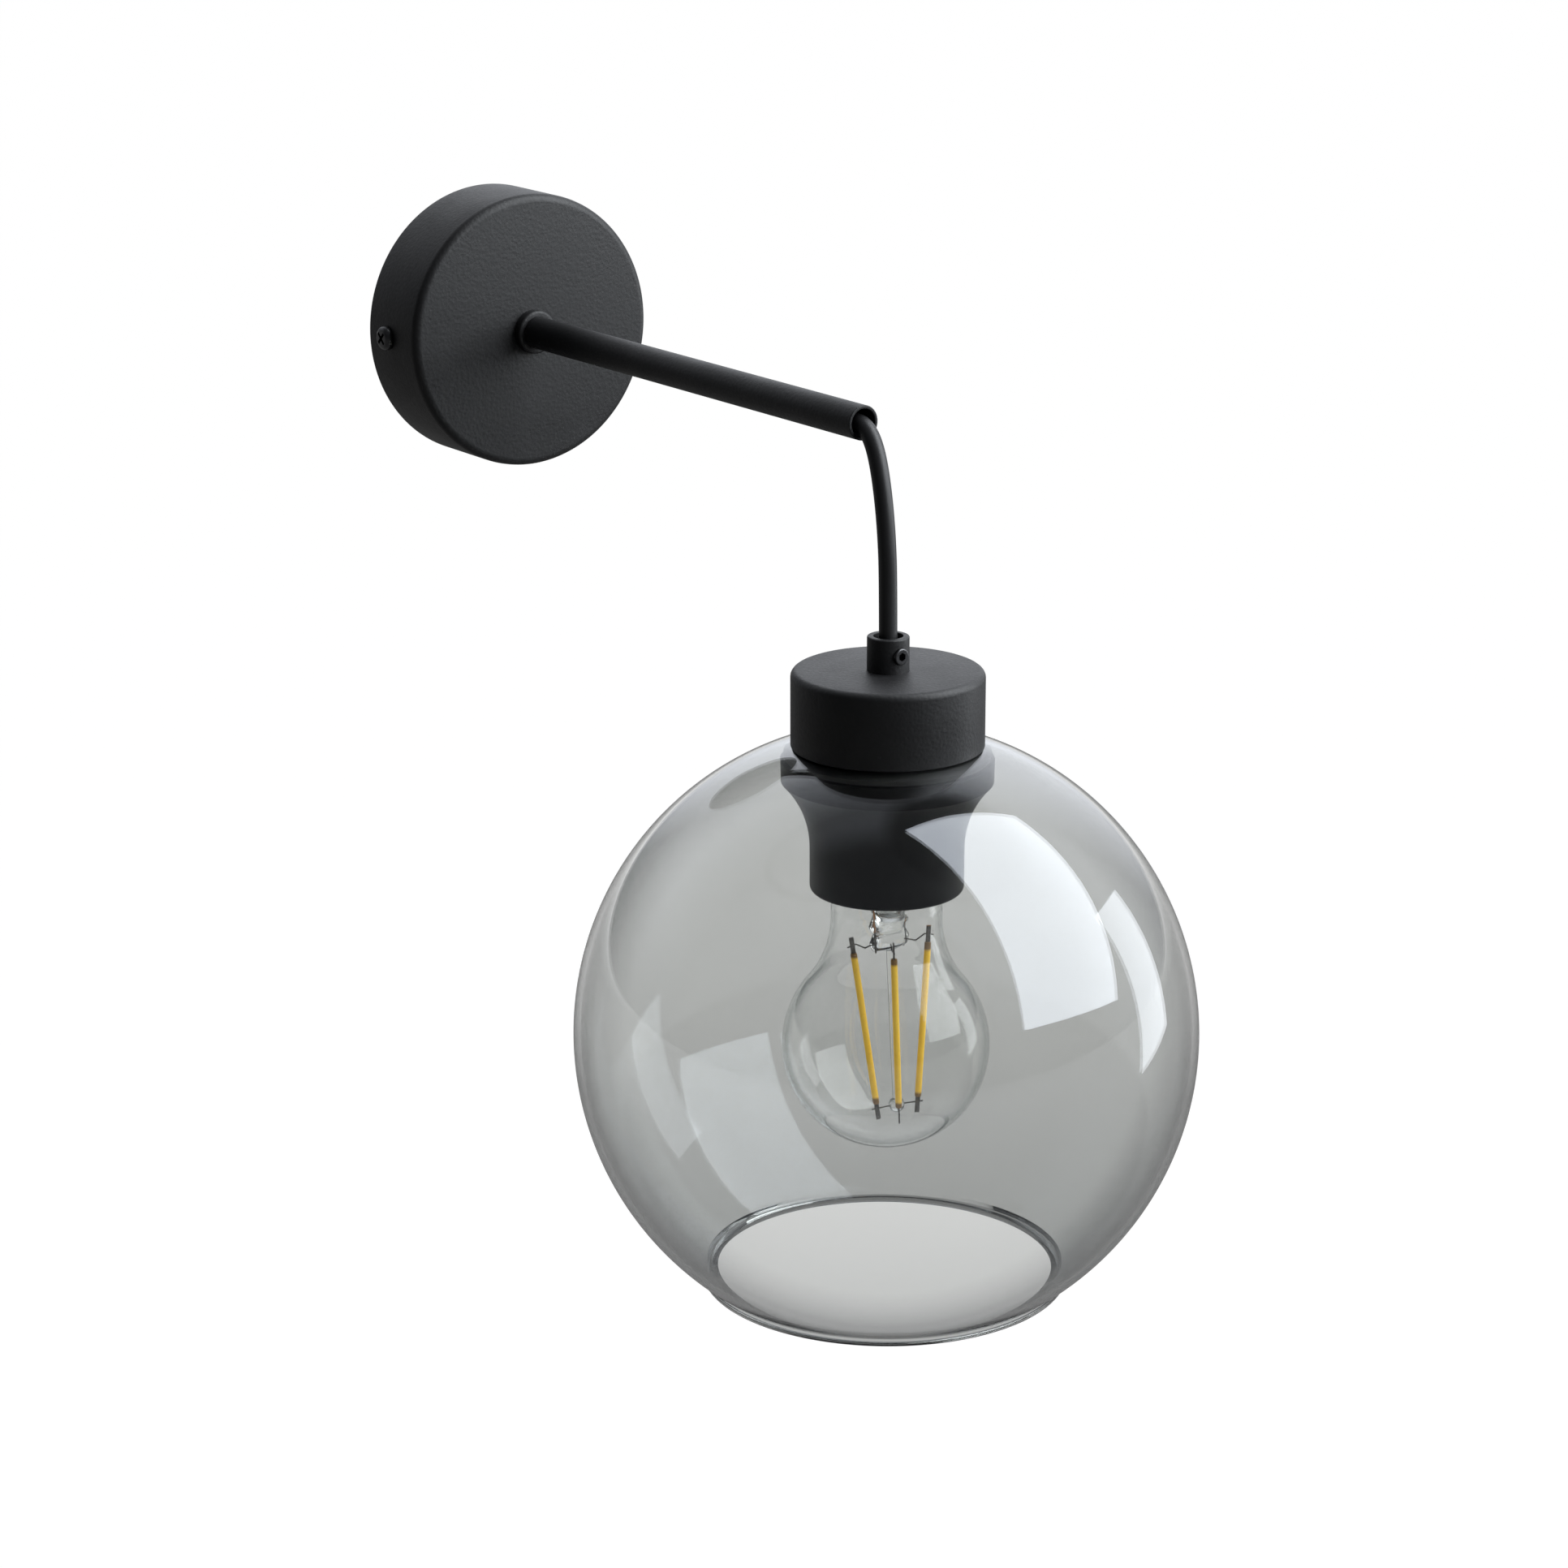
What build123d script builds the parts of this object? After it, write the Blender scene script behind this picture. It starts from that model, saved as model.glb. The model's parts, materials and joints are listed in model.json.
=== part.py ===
from build123d import *
import os
from math import cos, pi, radians, sin, sqrt

# Wall sconce: a round wall cup carries a straight tube arm, a flex comes out of the tube's
# open mouth, and a clear smoked globe with a screw lamp hangs from the flex.
# Millimetres. The wall is the plane Y = 0, the room is on the -Y side, +Z is up, and the
# origin is the middle of the wall bracket, on the arm's axis.

# Clearances
thread_gap = 0.05
slip_gap = 0.1
running_gap = 0.3
cut_past = 1.0

# Wall cup
canopy_radius = 42.5
canopy_depth = 27.5
canopy_wall = 1.2
canopy_edge_radius = 2.5

# Side screws that hold the cup on the bracket
side_screw_radius = 2.0
side_screw_length = 6.5
side_screw_depth = 10.7
side_screw_head_radius = 3.75
side_screw_head_height = 2.2

# Wall bracket
bracket_thickness = 1.5
bracket_half_width = 7.5
bracket_tab_depth = 15.0
bracket_corner_gap = 0.4
wall_slot_spacing = 54.0
wall_slot_width = 5.0
wall_slot_length = 11.0
cable_hole_radius = 4.5
cable_hole_offset = 13.0
tongue_width = 22.0
tongue_length = 20.0

# Earth point on the bracket
earth_offset = 12.5
earth_screw_radius = 2.0
earth_head_radius = 3.4
earth_head_height = 2.2
earth_washer_radius = 4.2
earth_washer_thickness = 0.8

# Terminal block on the bracket's tongue
block_width = 20.0
block_depth = 12.0
block_height = 15.0
block_edge_radius = 0.8
pole_spacing = 11.0
insert_radius = 2.6
insert_length = 13.0
insert_bore = 1.5
clamp_screw_radius = 1.4
clamp_screw_length = 4.0
clamp_screw_spacing = 7.0
block_screw_radius = 1.5
block_screw_head_radius = 2.5
block_screw_head_height = 2.0

# Tube arm
arm_radius = 5.0
arm_wall = 1.0
arm_reach = 172.5
arm_tail = 8.5
arm_mouth_rounding = 0.3
collar_radius = 6.75
collar_length = 3.0
collar_rounding = 0.8

# Nuts and lock washers on the fine ten millimetre thread of the arm and of the cord grip
nut_across_flats = 14.0
arm_nut_thickness = 3.5
grip_nut_thickness = 3.0
washer_radius = 8.0
washer_thickness = 0.7

# Flex
flex_radius = 2.6
core_radius = 1.0
core_spread = 1.25
lead_straight = 3.0
flex_tail = 3.5
flex_split = 17.0
flex_end_below_spigot = 1.6

# Hanging lamp: heights are measured from the arm's axis
pendant_offset = 12.0
grip_top = -58.5
grip_height = 9.9
grip_radius = 6.0
grip_rounding = 0.5
grip_bore_radius = 4.2
grip_bore_depth = 8.4
spigot_radius = 4.95
spigot_bore_radius = 3.2
spigot_short_of_boss = 1.0
grip_screw_radius = 2.4
grip_screw_drop = 4.9
grip_screw_proud = 0.6
grip_socket_radius = 1.25
grip_socket_depth = 2.0
grip_screw_rounding = 0.48

# Cap over the lampholder
cap_radius = 27.5
cap_height = 22.0
cap_wall = 1.2
cap_edge_radius = 2.0
cap_lip_radius = 0.4

# Glass globe
globe_radius = 90.0
globe_wall = 2.0
globe_hole_radius = 21.0
globe_lip_radius = 53.4
globe_lip_wall = 4.6
globe_lip_height = 1.5
globe_lip_rounding = 0.9

# Lampholder
dome_radius = 19.0
dome_wall = 2.0
dome_boss_radius = 8.0
dome_boss_height = 7.0
dome_shoulder = 8.0
dome_height = 17.7
holder_radius = 19.4
holder_spigot_height = 3.0
holder_bore_radius = 14.6
holder_height = 38.5
block_disc_top_drop = 1.0
disc_height = 11.6
shell_radius = 13.4
shell_sheet = 0.35
shell_bead = 0.5
shell_length = 25.0
shell_hole_radius = 6.5
holder_screw_radius = 1.45
holder_screw_length = 8.0
holder_screw_offset = 10.0
holder_screw_head_radius = 2.5
holder_screw_head_height = 1.8
lead_hole_offset = 5.0
lead_hole_depth = 6.0
contact_width = 5.0
contact_length = 10.0
contact_thickness = 0.5
contact_dome_radius = 2.0
contact_dome_height = 0.8

# Bell shaped shade ring that screws on the lampholder and clamps the glass
ring_flange_radius = 30.0
ring_flange_height = 6.0
ring_skirt_radius = 22.0
ring_taper_end = 28.5
ring_height = 41.0
ring_skirt_wall = 1.6
ring_thread_length = 16.0
ring_bottom_rounding = 1.4
ring_flange_chamfer = 0.6
gasket_thickness = 1.2
gasket_inner_radius = 22.5
gasket_outer_radius = 29.0

# Screw lamp
bulb_radius = 30.0
bulb_length = 105.0
bulb_neck_radius = 16.0
bulb_neck_straight = 3.3
bulb_glass = 0.8
bulb_collar_radius = 14.2
bulb_collar_height = 7.5
thread_pitch = 3.629
thread_crest_radius = 13.1
thread_root_radius = 12.2
thread_sheet = 0.5
thread_turns = 5
screw_cap_skirt = 2.6
screw_cap_drop = 5.0
tip_radius = 4.8
tip_height = 1.2
insulator_top_radius = 5.4
driver_board_thickness = 1.6
driver_part_radius = 3.5
driver_part_height = 7.0
stem_rim_radius = 12.0
stem_pinch_radius = 4.6
stem_pinch_height = 9.0
stem_flare_height = 11.0
stem_wall = 1.0
stem_rod_radius = 1.1
stem_foot_clear = 12.25
stem_button_radius = 2.3
stem_button_height = 2.4
filament_radius = 0.95
filament_top_drop = 47.0
filament_foot_clear = 12.5
filament_top_radius = 11.4
filament_foot_radius = 6.5
filament_angles = (169.0, 239.0, 338.0)
clip_radius = 0.5
clip_length = 5.2
support_wire_radius = 0.3

# Shares of a screw head that its slot and its rounding take
head_rounding_share = 0.6
slot_depth_share = 0.55
slot_width_share = 0.26
slot_length_share = 1.2

# Shares of other sizes: bends of a cord, thread beads, contacts, and the stem's flare and button
bend_share = 0.45
shell_bead_steps = ((0.2, 0), (0.35, 1), (0.75, 1), (0.9, 0))
thread_foot_share = 0.2
contact_rounding_share = 0.8
tip_rounding_share = 0.7
flare_narrow_share = 0.3
button_bevel_share = 0.3
clamp_slot_share = 0.4

# Places that follow from the sizes
canopy_face = -canopy_depth
canopy_inner_radius = canopy_radius - canopy_wall
arm_mouth = canopy_face - arm_reach
arm_end = canopy_face + arm_tail
arm_bore = arm_radius - arm_wall
arm_hole_radius = arm_radius + slip_gap
pendant_y = arm_mouth - pendant_offset
flex_rest = -(arm_bore - flex_radius - slip_gap)
bracket_reach = sqrt(canopy_inner_radius ** 2 - bracket_half_width ** 2) - bracket_corner_gap
block_middle = -bracket_half_width - tongue_length + block_height / 2
block_back = -bracket_thickness
pole_axis = block_back - block_depth / 2
grip_bottom = grip_top - grip_height
cap_bottom = grip_bottom - cap_height
cap_ceiling = grip_bottom - cap_wall
cap_inner_radius = cap_radius - cap_wall
dome_top = cap_ceiling - washer_thickness - grip_nut_thickness
dome_bottom = dome_top - dome_height
spigot_end = dome_top - dome_boss_height + spigot_short_of_boss
globe_centre = cap_bottom - thread_gap - sqrt(globe_radius ** 2 - cap_inner_radius ** 2)
globe_inner_radius = globe_radius - globe_wall
holder_bottom = dome_bottom - holder_height
disc_top = dome_bottom - block_disc_top_drop
disc_bottom = disc_top - disc_height
gasket_outer_sphere = globe_inner_radius - slip_gap
gasket_inner_sphere = gasket_outer_sphere - gasket_thickness
ring_top_sphere = gasket_inner_sphere - slip_gap
ring_flange_top = globe_centre + sqrt(ring_top_sphere ** 2 - ring_flange_radius ** 2)
ring_bore_radius = holder_radius + thread_gap
ring_top = globe_centre + sqrt(ring_top_sphere ** 2 - ring_bore_radius ** 2)
ring_bottom = ring_top - ring_height
bulb_tip = disc_bottom - contact_thickness - contact_dome_height - running_gap
bulb_foot = bulb_tip - bulb_length
bulb_centre = bulb_foot + bulb_radius
screw_cap_top = bulb_tip - screw_cap_drop
screw_cap_bottom = screw_cap_top - thread_turns * thread_pitch - screw_cap_skirt
stem_top = screw_cap_bottom + stem_wall
stem_pinch_bottom = stem_top - stem_flare_height - stem_pinch_height
stem_rod_end = bulb_foot + stem_foot_clear
filament_top = bulb_tip - filament_top_drop
filament_foot = bulb_foot + filament_foot_clear
bulb_collar = screw_cap_bottom + thread_gap
bulb_neck = bulb_collar - bulb_collar_height
bulb_neck_rise = bulb_neck - bulb_neck_straight - bulb_centre
bulb_neck_fillet = (bulb_neck_rise ** 2 + bulb_neck_radius ** 2 - bulb_radius ** 2) / (
    2 * (bulb_radius - bulb_neck_radius))

# Route of the flex from inside the arm over the mouth's lower lip and down to the lamp, in the
# plane X = 0. Each point gives the distance beyond the mouth and the height.
flex_before_meeting = (7.6, -11.5)
flex_meeting = (9.1, -18.85)
flex_after_meeting = tuple(2 * here - before for here, before in zip(flex_meeting, flex_before_meeting))
flex_upper_route = (
    (-flex_split, flex_rest),
    (-9.5, flex_rest),
    (-1.34, 0.15),
    (3.95, -3.29),
    flex_before_meeting,
    flex_meeting,
)
flex_lower_route = (
    flex_meeting,
    flex_after_meeting,
    (pendant_offset, -44.0),
    (pendant_offset, spigot_end - flex_end_below_spigot),
)


def on_z(radius, height):
    """Point of an outline that is turned about the Z axis."""
    return (radius, 0, height)


def on_y(radius, depth):
    """Point of an outline that is turned about the Y axis."""
    return (radius, depth, 0)


def arc_point(centre, radius, angle):
    """Point on a circle of an outline, at an angle in degrees."""
    return (centre[0] + radius * cos(radians(angle)), centre[1] + radius * sin(radians(angle)))


def outline(place, start, *steps):
    """Closed face. A step is the next corner, or a pair: a point on an arc, and its end."""
    edges = []
    here = start
    for step in steps:
        if isinstance(step[0], tuple):
            through, end = step
            edges.append(ThreePointArc(place(*here), place(*through), place(*end)))
            here = end
        else:
            edges.append(Line(place(*here), place(*step)))
            here = step
    if here != start:
        edges.append(Line(place(*here), place(*start)))
    return make_face(edges)


def turned_on_y(start, *steps):
    """Solid turned about the arm's axis."""
    return revolve(outline(on_y, start, *steps), axis=Axis.Y)


def turned_on_z(start, *steps):
    """Solid turned about the lamp's axis and moved to where the lamp hangs."""
    return Pos(0, pendant_y, 0) * revolve(outline(on_z, start, *steps), axis=Axis.Z)


def upright_cylinder(radius, low, high, x=0, y=0):
    """Cylinder along Z between two heights, placed from the lamp's axis."""
    return Pos(x, pendant_y + y, (low + high) / 2) * Cylinder(radius, high - low)


def level_cylinder(radius, low, high, x=0, z=0):
    """Cylinder along Y between two depths."""
    return Pos(x, (low + high) / 2, z) * Rot(90, 0, 0) * Cylinder(radius, high - low)


def level_ring(outer, inner, low, high, x=0):
    """Flat ring along Y between two depths."""
    return level_cylinder(outer, low, high, x) - level_cylinder(inner, low, high, x)


def upright_ring(outer, inner, low, high):
    """Flat ring along Z between two heights, on the lamp's axis."""
    return upright_cylinder(outer, low, high) - upright_cylinder(inner, low, high)


def screw(radius, length, head_radius, head_height, crossed):
    """Screw along Z with the underside of its head at zero and a crossed or single slot."""
    head = Pos(0, 0, head_height / 2) * Cylinder(head_radius, head_height)
    head = fillet(head.edges().group_by(Axis.Z)[-1], head_height * head_rounding_share)
    body = head + Pos(0, 0, -length / 2) * Cylinder(radius, length)
    slot_depth = head_height * slot_depth_share
    slot_width = head_radius * slot_width_share
    slot = Pos(0, 0, head_height) * Box(head_radius * slot_length_share, slot_width, slot_depth * 2)
    body = body - slot
    if crossed:
        body = body - Rot(0, 0, 90) * slot
    return body


def hex_nut(bore, thickness):
    """Six sided nut along Z, from zero up."""
    flats = RegularPolygon(nut_across_flats / 2, 6, major_radius=False)
    return extrude(flats, thickness) - Pos(0, 0, thickness / 2) * Cylinder(bore, thickness)


def run_radii(points):
    """Largest bend radii that the runs on both sides of each corner leave room for."""
    radii = []
    for before, corner, after in zip(points, points[1:], points[2:]):
        first = Vector(*corner) - Vector(*before)
        second = Vector(*after) - Vector(*corner)
        half_turn = radians(first.get_angle(second)) / 2
        shorter = min(first.length, second.length)
        radii.append(bend_share * shorter * cos(half_turn) / sin(half_turn))
    return radii


def tube_along(points, radius):
    """Round tube along straight runs joined by arcs."""
    path = FilletPolyline(*points, radius=run_radii(points))
    section = Plane(origin=path @ 0, z_dir=path % 0) * Circle(radius)
    return sweep(section, path=path), path


def rod_between(start, end, radius):
    """Straight round rod between two points."""
    axis = Vector(*end) - Vector(*start)
    plane = Plane(origin=start, z_dir=axis)
    return extrude(plane * Circle(radius), axis.length)


def make_canopy():
    """Wall cup: a drawn steel cup, open to the wall, with the arm's hole and two screw holes."""
    edge = canopy_edge_radius
    inner_edge = edge - canopy_wall
    bend = (canopy_radius - edge, canopy_face + edge)
    inner_bend = (canopy_inner_radius - inner_edge, canopy_face + canopy_wall + inner_edge)
    cup = turned_on_y(
        (arm_hole_radius, canopy_face),
        (canopy_radius - edge, canopy_face),
        (arc_point(bend, edge, -45), (canopy_radius, canopy_face + edge)),
        (canopy_radius, 0),
        (canopy_inner_radius, 0),
        (canopy_inner_radius, inner_bend[1]),
        (arc_point(inner_bend, inner_edge, -45), (inner_bend[0], canopy_face + canopy_wall)),
        (arm_hole_radius, canopy_face + canopy_wall),
    )
    hole = Cylinder(side_screw_radius + slip_gap, 4 * canopy_wall)
    for side in (-1, 1):
        cup = cup - Pos(side * canopy_radius, -side_screw_depth, 0) * Rot(0, 90, 0) * hole
    return cup


def make_side_screws():
    """Two cross slotted pan head screws, pointing at the arm's axis."""
    one = screw(side_screw_radius, side_screw_length, side_screw_head_radius, side_screw_head_height, True)
    return [
        Pos(side * (canopy_radius + thread_gap), -side_screw_depth, 0) * Rot(0, side * 90, 0) * one
        for side in (-1, 1)
    ]


def slot_along_x(x):
    """Cut for one wall screw slot."""
    straight = wall_slot_length - wall_slot_width
    cut = Pos(x, 0, 0) * Box(straight, 4 * bracket_thickness, wall_slot_width)
    for end in (-1, 1):
        place = x + end * straight / 2
        cut = cut + level_cylinder(wall_slot_width / 2, -2 * bracket_thickness, 2 * bracket_thickness, place)
    return cut


def make_bracket():
    """Strap with bent tabs for the side screws, and a tongue that carries the terminal block."""
    thick = bracket_thickness
    bracket = Pos(0, -thick / 2, 0) * Box(2 * bracket_reach, thick, 2 * bracket_half_width)
    tongue_middle = -bracket_half_width - tongue_length / 2
    bracket = bracket + Pos(0, -thick / 2, tongue_middle) * Box(tongue_width, thick, tongue_length)
    tab = Box(thick, bracket_tab_depth, 2 * bracket_half_width)
    for side in (-1, 1):
        place = side * (bracket_reach - thick / 2)
        bracket = bracket + Pos(place, -bracket_tab_depth / 2, 0) * tab
    bends = [
        edge for edge in bracket.edges().filter_by(Axis.Z)
        if abs(abs(edge.center().X) - bracket_reach) < slip_gap and abs(edge.center().Y) < slip_gap
    ]
    bracket = fillet(bends, thick)
    tapped = Cylinder(side_screw_radius + thread_gap, 4 * thick)
    for side in (-1, 1):
        bracket = bracket - Pos(side * bracket_reach, -side_screw_depth, 0) * Rot(0, 90, 0) * tapped
        bracket = bracket - slot_along_x(side * wall_slot_spacing / 2)
    through = 2 * thick
    bracket = bracket - level_cylinder(cable_hole_radius, -through, through, -cable_hole_offset)
    bracket = bracket - level_cylinder(earth_screw_radius + thread_gap, -through, through, earth_offset)
    fixing = level_cylinder(block_screw_radius + thread_gap, -through, through, 0, block_middle)
    return bracket - fixing


def make_earth_screw():
    """Slotted earth screw with its head to the room."""
    one = screw(
        earth_screw_radius, bracket_thickness + earth_washer_thickness, earth_head_radius,
        earth_head_height, False)
    head_seat = -bracket_thickness - earth_washer_thickness
    return Pos(earth_offset, head_seat, 0) * Rot(90, 0, 0) * one


def make_earth_washer():
    """Flat washer under the earth screw's head."""
    front = -bracket_thickness - earth_washer_thickness
    return level_ring(
        earth_washer_radius, earth_screw_radius + slip_gap, front, -bracket_thickness, earth_offset)


def pole_places():
    """X of each terminal pole."""
    return [side * pole_spacing / 2 for side in (-1, 1)]


def make_terminal_block():
    """Two pole terminal block with wire channels, screw wells and a fixing hole."""
    block = Pos(0, pole_axis, block_middle) * Box(block_width, block_depth, block_height)
    block = fillet(block.edges().filter_by(Axis.Z), block_edge_radius)
    front = block_back - block_depth
    for x in pole_places():
        channel = Cylinder(insert_radius + thread_gap, 2 * block_height)
        block = block - Pos(x, pole_axis, block_middle) * channel
        for end in (-1, 1):
            z = block_middle + end * clamp_screw_spacing / 2
            block = block - level_cylinder(clamp_screw_radius + slip_gap, front - cut_past, pole_axis, x, z)
    well = block_screw_head_radius + slip_gap
    head_seat = front + 2 * block_screw_head_height
    block = block - level_cylinder(well, front - cut_past, head_seat, 0, block_middle)
    return block - level_cylinder(block_screw_radius + slip_gap, front - cut_past, 0, 0, block_middle)


def make_terminal_inserts():
    """Brass wire tubes of the terminal block."""
    inserts = []
    for x in pole_places():
        insert = Cylinder(insert_radius, insert_length) - Cylinder(insert_bore, 2 * insert_length)
        insert = Pos(x, pole_axis, block_middle) * insert
        for end in (-1, 1):
            z = block_middle + end * clamp_screw_spacing / 2
            hole = clamp_screw_radius + thread_gap
            insert = insert - level_cylinder(hole, pole_axis - 2 * insert_radius, pole_axis, x, z)
        inserts.append(insert)
    return inserts


def make_clamp_screws():
    """Slotted grub screws that clamp the wires in the inserts."""
    screws = []
    tip = pole_axis - core_radius - thread_gap
    for x in pole_places():
        for end in (-1, 1):
            z = block_middle + end * clamp_screw_spacing / 2
            body = level_cylinder(clamp_screw_radius, tip - clamp_screw_length, tip, x, z)
            slot = Box(2 * clamp_screw_radius, clamp_screw_radius, clamp_screw_radius * clamp_slot_share)
            screws.append(body - Pos(x, tip - clamp_screw_length, z) * slot)
    return screws


def make_block_screw():
    """Screw that holds the terminal block on the tongue."""
    seat = block_back - block_depth + 2 * block_screw_head_height
    one = screw(block_screw_radius, -seat, block_screw_head_radius, block_screw_head_height, True)
    return Pos(0, seat, block_middle) * Rot(90, 0, 0) * one


def make_arm_tube():
    """Arm: a plain steel tube, open at the mouth and threaded where it passes the cup."""
    tube = level_ring(arm_radius, arm_bore, arm_mouth, arm_end)
    return fillet(tube.edges().group_by(Axis.Y)[0], arm_mouth_rounding)


def make_arm_collar():
    """Round collar on the arm against the cup's face."""
    front = canopy_face - collar_length
    collar = level_ring(collar_radius, arm_radius + thread_gap, front, canopy_face)
    outer = collar.edges().group_by(Axis.Y)[0].sort_by(SortBy.LENGTH)[-1]
    return fillet(outer, collar_rounding)


def make_arm_washer():
    """Lock washer inside the cup."""
    inside = canopy_face + canopy_wall
    return level_ring(washer_radius, arm_hole_radius, inside, inside + washer_thickness)


def make_arm_nut():
    """Nut that pulls the arm and its collar against the cup."""
    seat = canopy_face + canopy_wall + washer_thickness
    return Pos(0, seat, 0) * Rot(-90, 0, 0) * hex_nut(arm_radius + thread_gap, arm_nut_thickness)


def make_flex_in_arm():
    """Flex lying along the bottom of the arm's bore."""
    return level_cylinder(flex_radius, arm_mouth + flex_split, arm_end + flex_tail, 0, flex_rest)


def flex_points(route):
    """Route of the flex in space."""
    return [(0, arm_mouth - beyond, height) for beyond, height in route]


def make_canopy_leads():
    """Two insulated cores from the end of the flex into the terminal block."""
    leads = []
    start = arm_end + flex_tail
    block_top = block_middle + block_height / 2
    for side in (-1, 1):
        x = side * pole_spacing / 2
        points = [
            (side * core_spread, start, flex_rest),
            (side * core_spread, start + lead_straight, flex_rest),
            (x, pole_axis, block_top + lead_straight),
            (x, pole_axis, block_middle + clamp_screw_spacing / 2),
        ]
        leads.append(tube_along(points, core_radius)[0])
    return leads


def make_cord_grip():
    """Cord grip in one piece with the threaded spigot that passes through the cap."""
    bore_floor = grip_top - grip_bore_depth
    round_centre = (grip_radius - grip_rounding, grip_top - grip_rounding)
    grip = turned_on_z(
        (grip_bore_radius, grip_top),
        (round_centre[0], grip_top),
        (arc_point(round_centre, grip_rounding, 45), (grip_radius, round_centre[1])),
        (grip_radius, grip_bottom),
        (spigot_radius, grip_bottom),
        (spigot_radius, spigot_end),
        (spigot_bore_radius, spigot_end),
        (spigot_bore_radius, bore_floor),
        (grip_bore_radius, bore_floor),
    )
    tapped = grip_screw_radius + thread_gap
    z = grip_top - grip_screw_drop
    return grip - level_cylinder(tapped, pendant_y - 2 * grip_radius, pendant_y, 0, z)


def make_grip_screw():
    """Grub screw in the front of the cord grip, with a socket for a key."""
    z = grip_top - grip_screw_drop
    front = pendant_y - grip_radius - grip_screw_proud
    body = level_cylinder(grip_screw_radius, front, pendant_y - flex_radius - running_gap, 0, z)
    rim = body.edges().group_by(Axis.Y)[0]
    body = fillet(rim, grip_screw_rounding)
    socket = extrude(RegularPolygon(grip_socket_radius, 6), grip_socket_depth, both=True)
    return body - Pos(0, front, z) * Rot(90, 0, 0) * socket


def make_shade_cap():
    """Drawn steel cap over the lampholder, with its open rim just above the glass."""
    edge = cap_edge_radius
    inner_edge = edge - cap_wall
    hole = spigot_radius + slip_gap
    bend = (cap_radius - edge, grip_bottom - edge)
    inner_bend = (cap_inner_radius - inner_edge, cap_ceiling - inner_edge)
    lip = (cap_radius - cap_lip_radius, cap_bottom + cap_lip_radius)
    return turned_on_z(
        (hole, grip_bottom),
        (bend[0], grip_bottom),
        (arc_point(bend, edge, 45), (cap_radius, bend[1])),
        (cap_radius, lip[1]),
        (arc_point(lip, cap_lip_radius, -45), (lip[0], cap_bottom)),
        (cap_inner_radius, cap_bottom),
        (cap_inner_radius, inner_bend[1]),
        (arc_point(inner_bend, inner_edge, 45), (inner_bend[0], cap_ceiling)),
        (hole, cap_ceiling),
    )


def make_cap_washer():
    """Lock washer under the cap's top."""
    return upright_ring(washer_radius, spigot_radius + slip_gap, cap_ceiling - washer_thickness, cap_ceiling)


def make_grip_nut():
    """Nut that clamps the cap under the cord grip."""
    return Pos(0, pendant_y, dome_top) * hex_nut(spigot_radius + thread_gap, grip_nut_thickness)


def make_holder_dome():
    """Upper half of the lampholder, screwed on the grip's spigot."""
    bore = spigot_radius + thread_gap
    inner = dome_radius - dome_wall
    shoulder = dome_top - dome_shoulder
    crown = (dome_radius - dome_shoulder, shoulder)
    return turned_on_z(
        (bore, dome_top),
        (crown[0], dome_top),
        (arc_point(crown, dome_shoulder, 45), (dome_radius, shoulder)),
        (dome_radius, dome_bottom),
        (inner, dome_bottom),
        (inner, shoulder),
        (arc_point(crown, dome_shoulder - dome_wall, 45), (crown[0], dome_top - dome_wall)),
        (dome_boss_radius, dome_top - dome_wall),
        (dome_boss_radius, dome_top - dome_boss_height),
        (bore, dome_top - dome_boss_height),
    )


def make_holder_body():
    """Lower half of the lampholder: a threaded barrel that plugs into the dome."""
    plug = dome_radius - dome_wall - slip_gap
    return turned_on_z(
        (holder_bore_radius, dome_bottom + holder_spigot_height),
        (plug, dome_bottom + holder_spigot_height),
        (plug, dome_bottom),
        (holder_radius, dome_bottom),
        (holder_radius, holder_bottom),
        (holder_bore_radius, holder_bottom),
    )


def make_contact_disc():
    """Ceramic disc that carries the contacts and the terminal screws."""
    disc = upright_cylinder(holder_bore_radius - slip_gap, disc_bottom, disc_top)
    for side in (-1, 1):
        screw_hole = holder_screw_radius + thread_gap
        disc = disc - upright_cylinder(
            screw_hole, disc_top - holder_screw_length - cut_past, disc_top + cut_past, side * holder_screw_offset)
        disc = disc - upright_cylinder(
            core_radius + thread_gap, disc_top - lead_hole_depth, disc_top + cut_past, side * lead_hole_offset)
    return disc


def make_screw_shell():
    """Nickelled screw shell with rolled thread beads, open downwards."""
    beads = int(shell_length / thread_pitch)
    inner = []
    outer = []
    for turn in range(beads):
        z = disc_bottom - shell_sheet - turn * thread_pitch
        for drop, swell in shell_bead_steps:
            radius = shell_radius + swell * shell_bead
            inner.append((radius, z - drop * thread_pitch))
            outer.append((radius + shell_sheet, z - drop * thread_pitch))
    foot = disc_bottom - shell_length
    start = (shell_hole_radius, disc_bottom)
    top_outer = (shell_radius + shell_sheet, disc_bottom)
    ends = [(shell_radius + shell_sheet, foot), (shell_radius, foot)]
    ceiling = disc_bottom - shell_sheet
    top_inner = [(shell_radius, ceiling), (shell_hole_radius, ceiling)]
    return turned_on_z(start, top_outer, *outer, *ends, *reversed(inner), *top_inner)


def make_centre_contact():
    """Springy centre contact under the disc."""
    strip_bottom = disc_bottom - contact_thickness
    strip = Pos(0, pendant_y, disc_bottom - contact_thickness / 2) * Box(
        contact_length, contact_width, contact_thickness)
    dome = upright_cylinder(contact_dome_radius, strip_bottom - contact_dome_height, strip_bottom)
    return strip + fillet(dome.edges().group_by(Axis.Z)[0], contact_dome_height * contact_rounding_share)


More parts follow.
